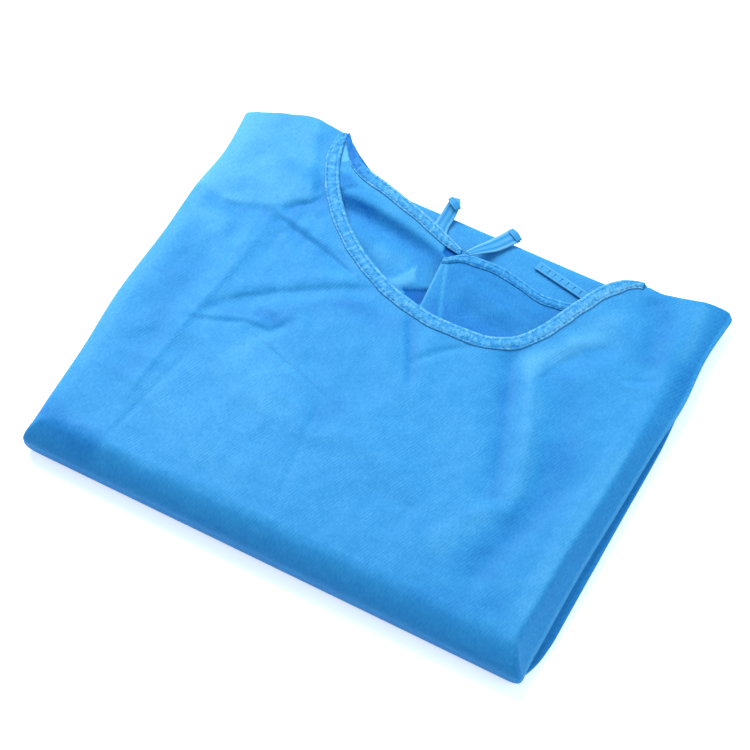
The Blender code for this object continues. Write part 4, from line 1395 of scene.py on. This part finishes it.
def noise_of(tree, size, detail, stretch=1.0):
    """Noise whose bumps have this size in millimetres."""
    texture = add_node(tree, "ShaderNodeTexNoise", {"Scale": 1.0, "Detail": detail, "Roughness": 0.6})
    place = add_node(tree, "ShaderNodeMapping", {"Scale": (1 / size, 1 / (size * stretch), 1 / size)})
    tree.links.new(cloth_place(tree), place.inputs["Vector"])
    tree.links.new(place.outputs["Vector"], texture.inputs["Vector"])
    return texture.outputs["Fac"]


def math_node(tree, operation, first, second):
    node = add_node(tree, "ShaderNodeMath", operation=operation)
    for socket, value in zip(node.inputs, (first, second)):
        if isinstance(value, (int, float)):
            socket.default_value = value
        else:
            tree.links.new(value, socket)
    return node.outputs[0]


def add_bump(tree, height, strength, distance, under=None):
    bump = add_node(tree, "ShaderNodeBump", {"Strength": strength, "Distance": distance})
    tree.links.new(height, bump.inputs["Height"])
    if under is not None:
        tree.links.new(under, bump.inputs["Normal"])
    return bump.outputs["Normal"]


def total(tree, first, *others):
    """The sum of several values."""
    for other in others:
        first = math_node(tree, "ADD", first, other)
    return first


def tinted_color(tree, shade, deep, color, pale):
    """Deep at 0, the colour itself at the middle and pale at 1 of a shade, once the tint that is
    painted on the points, mostly painted shade and painted highlight, is added to it."""
    tint = add_node(tree, "ShaderNodeAttribute", attribute_name="tint")
    ramp = add_node(tree, "ShaderNodeValToRGB")
    ramp.color_ramp.elements[0].color = deep
    ramp.color_ramp.elements[1].color = pale
    ramp.color_ramp.elements.new(0.5).color = color
    shade = total(tree, shade, math_node(tree, "MULTIPLY", tint.outputs["Fac"], TINT_STEP))
    tree.links.new(shade, ramp.inputs["Fac"])
    return ramp.outputs["Color"]


def centred(tree, value, amount):
    """A value between 0 and 1, spread by an amount about nothing."""
    return math_node(tree, "MULTIPLY", math_node(tree, "SUBTRACT", value, 0.5), amount)


def nonwoven_material(name, roughness, sheen):
    """Spunbond cloth: slanting rows of tiny bond points, cloudy fibres and a soft sheen."""
    material = new_material(name, CLOTH_BLUE, roughness, sheen)
    tree = material.node_tree
    rows = bond_rows(tree, BOND_ANGLE, BOND_PITCH)
    crossing = bond_rows(tree, BOND_ANGLE + 90, CROSS_PITCH)
    clouds = noise_of(tree, CLOUD_SIZE, 3.0)
    fibres = noise_of(tree, FIBRE_SIZE, 3.0, FIBRE_STRETCH)
    uneven = (centred(tree, clouds, 0.25), centred(tree, fibres, 0.50), centred(tree, rows, 0.04))
    shade = total(tree, *uneven, 0.5)
    color = tinted_color(tree, shade, CLOTH_DEEP, CLOTH_BLUE, CLOTH_PALE)
    lattice = total(tree, rows, math_node(tree, "MULTIPLY", crossing, 0.45))
    lattice = math_node(tree, "MULTIPLY", lattice, noise_of(tree, 2 * CLOUD_SIZE, 1.0))
    normal = add_bump(tree, lattice, 0.4, 0.00022)
    return dressed(material, color, add_bump(tree, fibres, 0.45, 0.0004, normal))


def tape_material():
    """Cut strip of the same cloth, doubled and pressed, with fine ribs and puckers."""
    material = new_material("tape_cloth", CLOTH_BLUE, 0.6, 0.1)
    tree = material.node_tree
    ribs = bond_rows(tree, RIB_ANGLE, RIB_PITCH)
    puckers = noise_of(tree, PUCKER_SIZE, 2.0)
    shade = total(tree, centred(tree, puckers, 1.5), 0.5)
    color = tinted_color(tree, shade, TAPE_DEEP, TAPE_BLUE, TAPE_PALE)
    normal = add_bump(tree, ribs, 0.3, 0.0002)
    return dressed(material, color, add_bump(tree, puckers, 0.5, 0.0008, normal))


def thread_material():
    """Sewing thread, with its twist as fine uneven tone and relief."""
    material = new_material("thread", THREAD_BLUE, 0.5, 0.3)
    tree = material.node_tree
    place = add_node(tree, "ShaderNodeTexCoord")
    twist = add_node(tree, "ShaderNodeTexNoise", {"Scale": 900.0, "Detail": 2.0})
    tree.links.new(place.outputs["Object"], twist.inputs["Vector"])
    paler = tuple(channel * 1.6 for channel in THREAD_BLUE[:3]) + (1.0,)
    mix = add_node(tree, "ShaderNodeMix", {"A": THREAD_BLUE, "B": paler}, data_type="RGBA")
    tree.links.new(twist.outputs["Fac"], mix.inputs["Factor"])
    return dressed(material, mix.outputs["Result"], add_bump(tree, twist.outputs["Fac"], 0.4, 0.0002))


def add_floor():
    bpy.ops.mesh.primitive_plane_add(size=8.0)
    floor = bpy.context.object
    floor.name = "floor"
    glow = {"Specular IOR Level": 0.0, "Emission Color": FLOOR_WARM, "Emission Strength": FLOOR_GLOW}
    floor.data.materials.append(new_material("floor", FLOOR_WHITE, 0.9, 0.0, glow))


def add_light(name, place, size, power, color):
    """Square soft light at a place, turned to the middle of the pack."""
    data = bpy.data.lights.new(name, "AREA")
    data.shape = "SQUARE"
    data.size = size
    data.energy = power
    data.color = color
    lamp = bpy.data.objects.new(name, data)
    lamp.location = place
    lamp.rotation_euler = (-Vector(place)).to_track_quat("-Z", "Y").to_euler()
    bpy.context.scene.collection.objects.link(lamp)


def set_world():
    world = bpy.data.worlds.new("studio")
    bpy.context.scene.world = world
    world.use_nodes = True
    background = world.node_tree.nodes["Background"]
    background.inputs["Color"].default_value = WORLD_COLOR
    background.inputs["Strength"].default_value = WORLD_STRENGTH


def set_camera():
    """Camera at the photograph's angle."""
    azimuth, elevation = math.radians(CAMERA_AZIMUTH), math.radians(CAMERA_ELEVATION)
    flat = math.cos(elevation)
    back = Vector((math.sin(azimuth) * flat, -math.cos(azimuth) * flat, math.sin(elevation)))
    data = bpy.data.cameras.new("camera")
    data.lens = CAMERA_LENS
    data.sensor_width = 36.0
    camera = bpy.data.objects.new("camera", data)
    right = Vector((math.cos(azimuth), math.sin(azimuth), 0))
    turn = Matrix((right, back.cross(right), back)).transposed()
    camera.matrix_world = Matrix.Translation(Vector(CAMERA_AIM) + back * CAMERA_DISTANCE) @ turn.to_4x4()
    bpy.context.scene.collection.objects.link(camera)
    bpy.context.scene.camera = camera


def set_studio():
    add_floor()
    for light in LIGHTS:
        add_light(*light)
    set_world()
    bpy.context.scene.view_settings.view_transform = "Standard"


def build():
    set_camera()
    set_studio()
    cloth = nonwoven_material("cloth_outside", 0.6, 0.03)
    inner = nonwoven_material("cloth_inside", 0.68, 0.03)
    tape, thread = tape_material(), thread_material()
    front = add_front_panel(cloth)
    layers = add_folded_layers(cloth)
    left = add_back_panel("back_panel_left", BACK_LEFT, LEFT_CREASES, inner)
    right = add_back_panel("back_panel_right", BACK_RIGHT, RIGHT_CREASES, inner)
    front_tape = add_front_binding(tape, thread)
    left_tape = add_back_binding(BACK_LEFT, "neck_binding_back_left", tape, thread)
    right_tape = add_back_binding(BACK_RIGHT, "neck_binding_back_right", tape, thread)
    tie_left, tip, tie_right, end_fold, end = (add_loose_tape(tape, *row) for row in LOOSE_TAPES)
    crosses = add_cross_stitches("tape_end_stitches", TAPE_END, CROSS_SPACING, tape)


build()
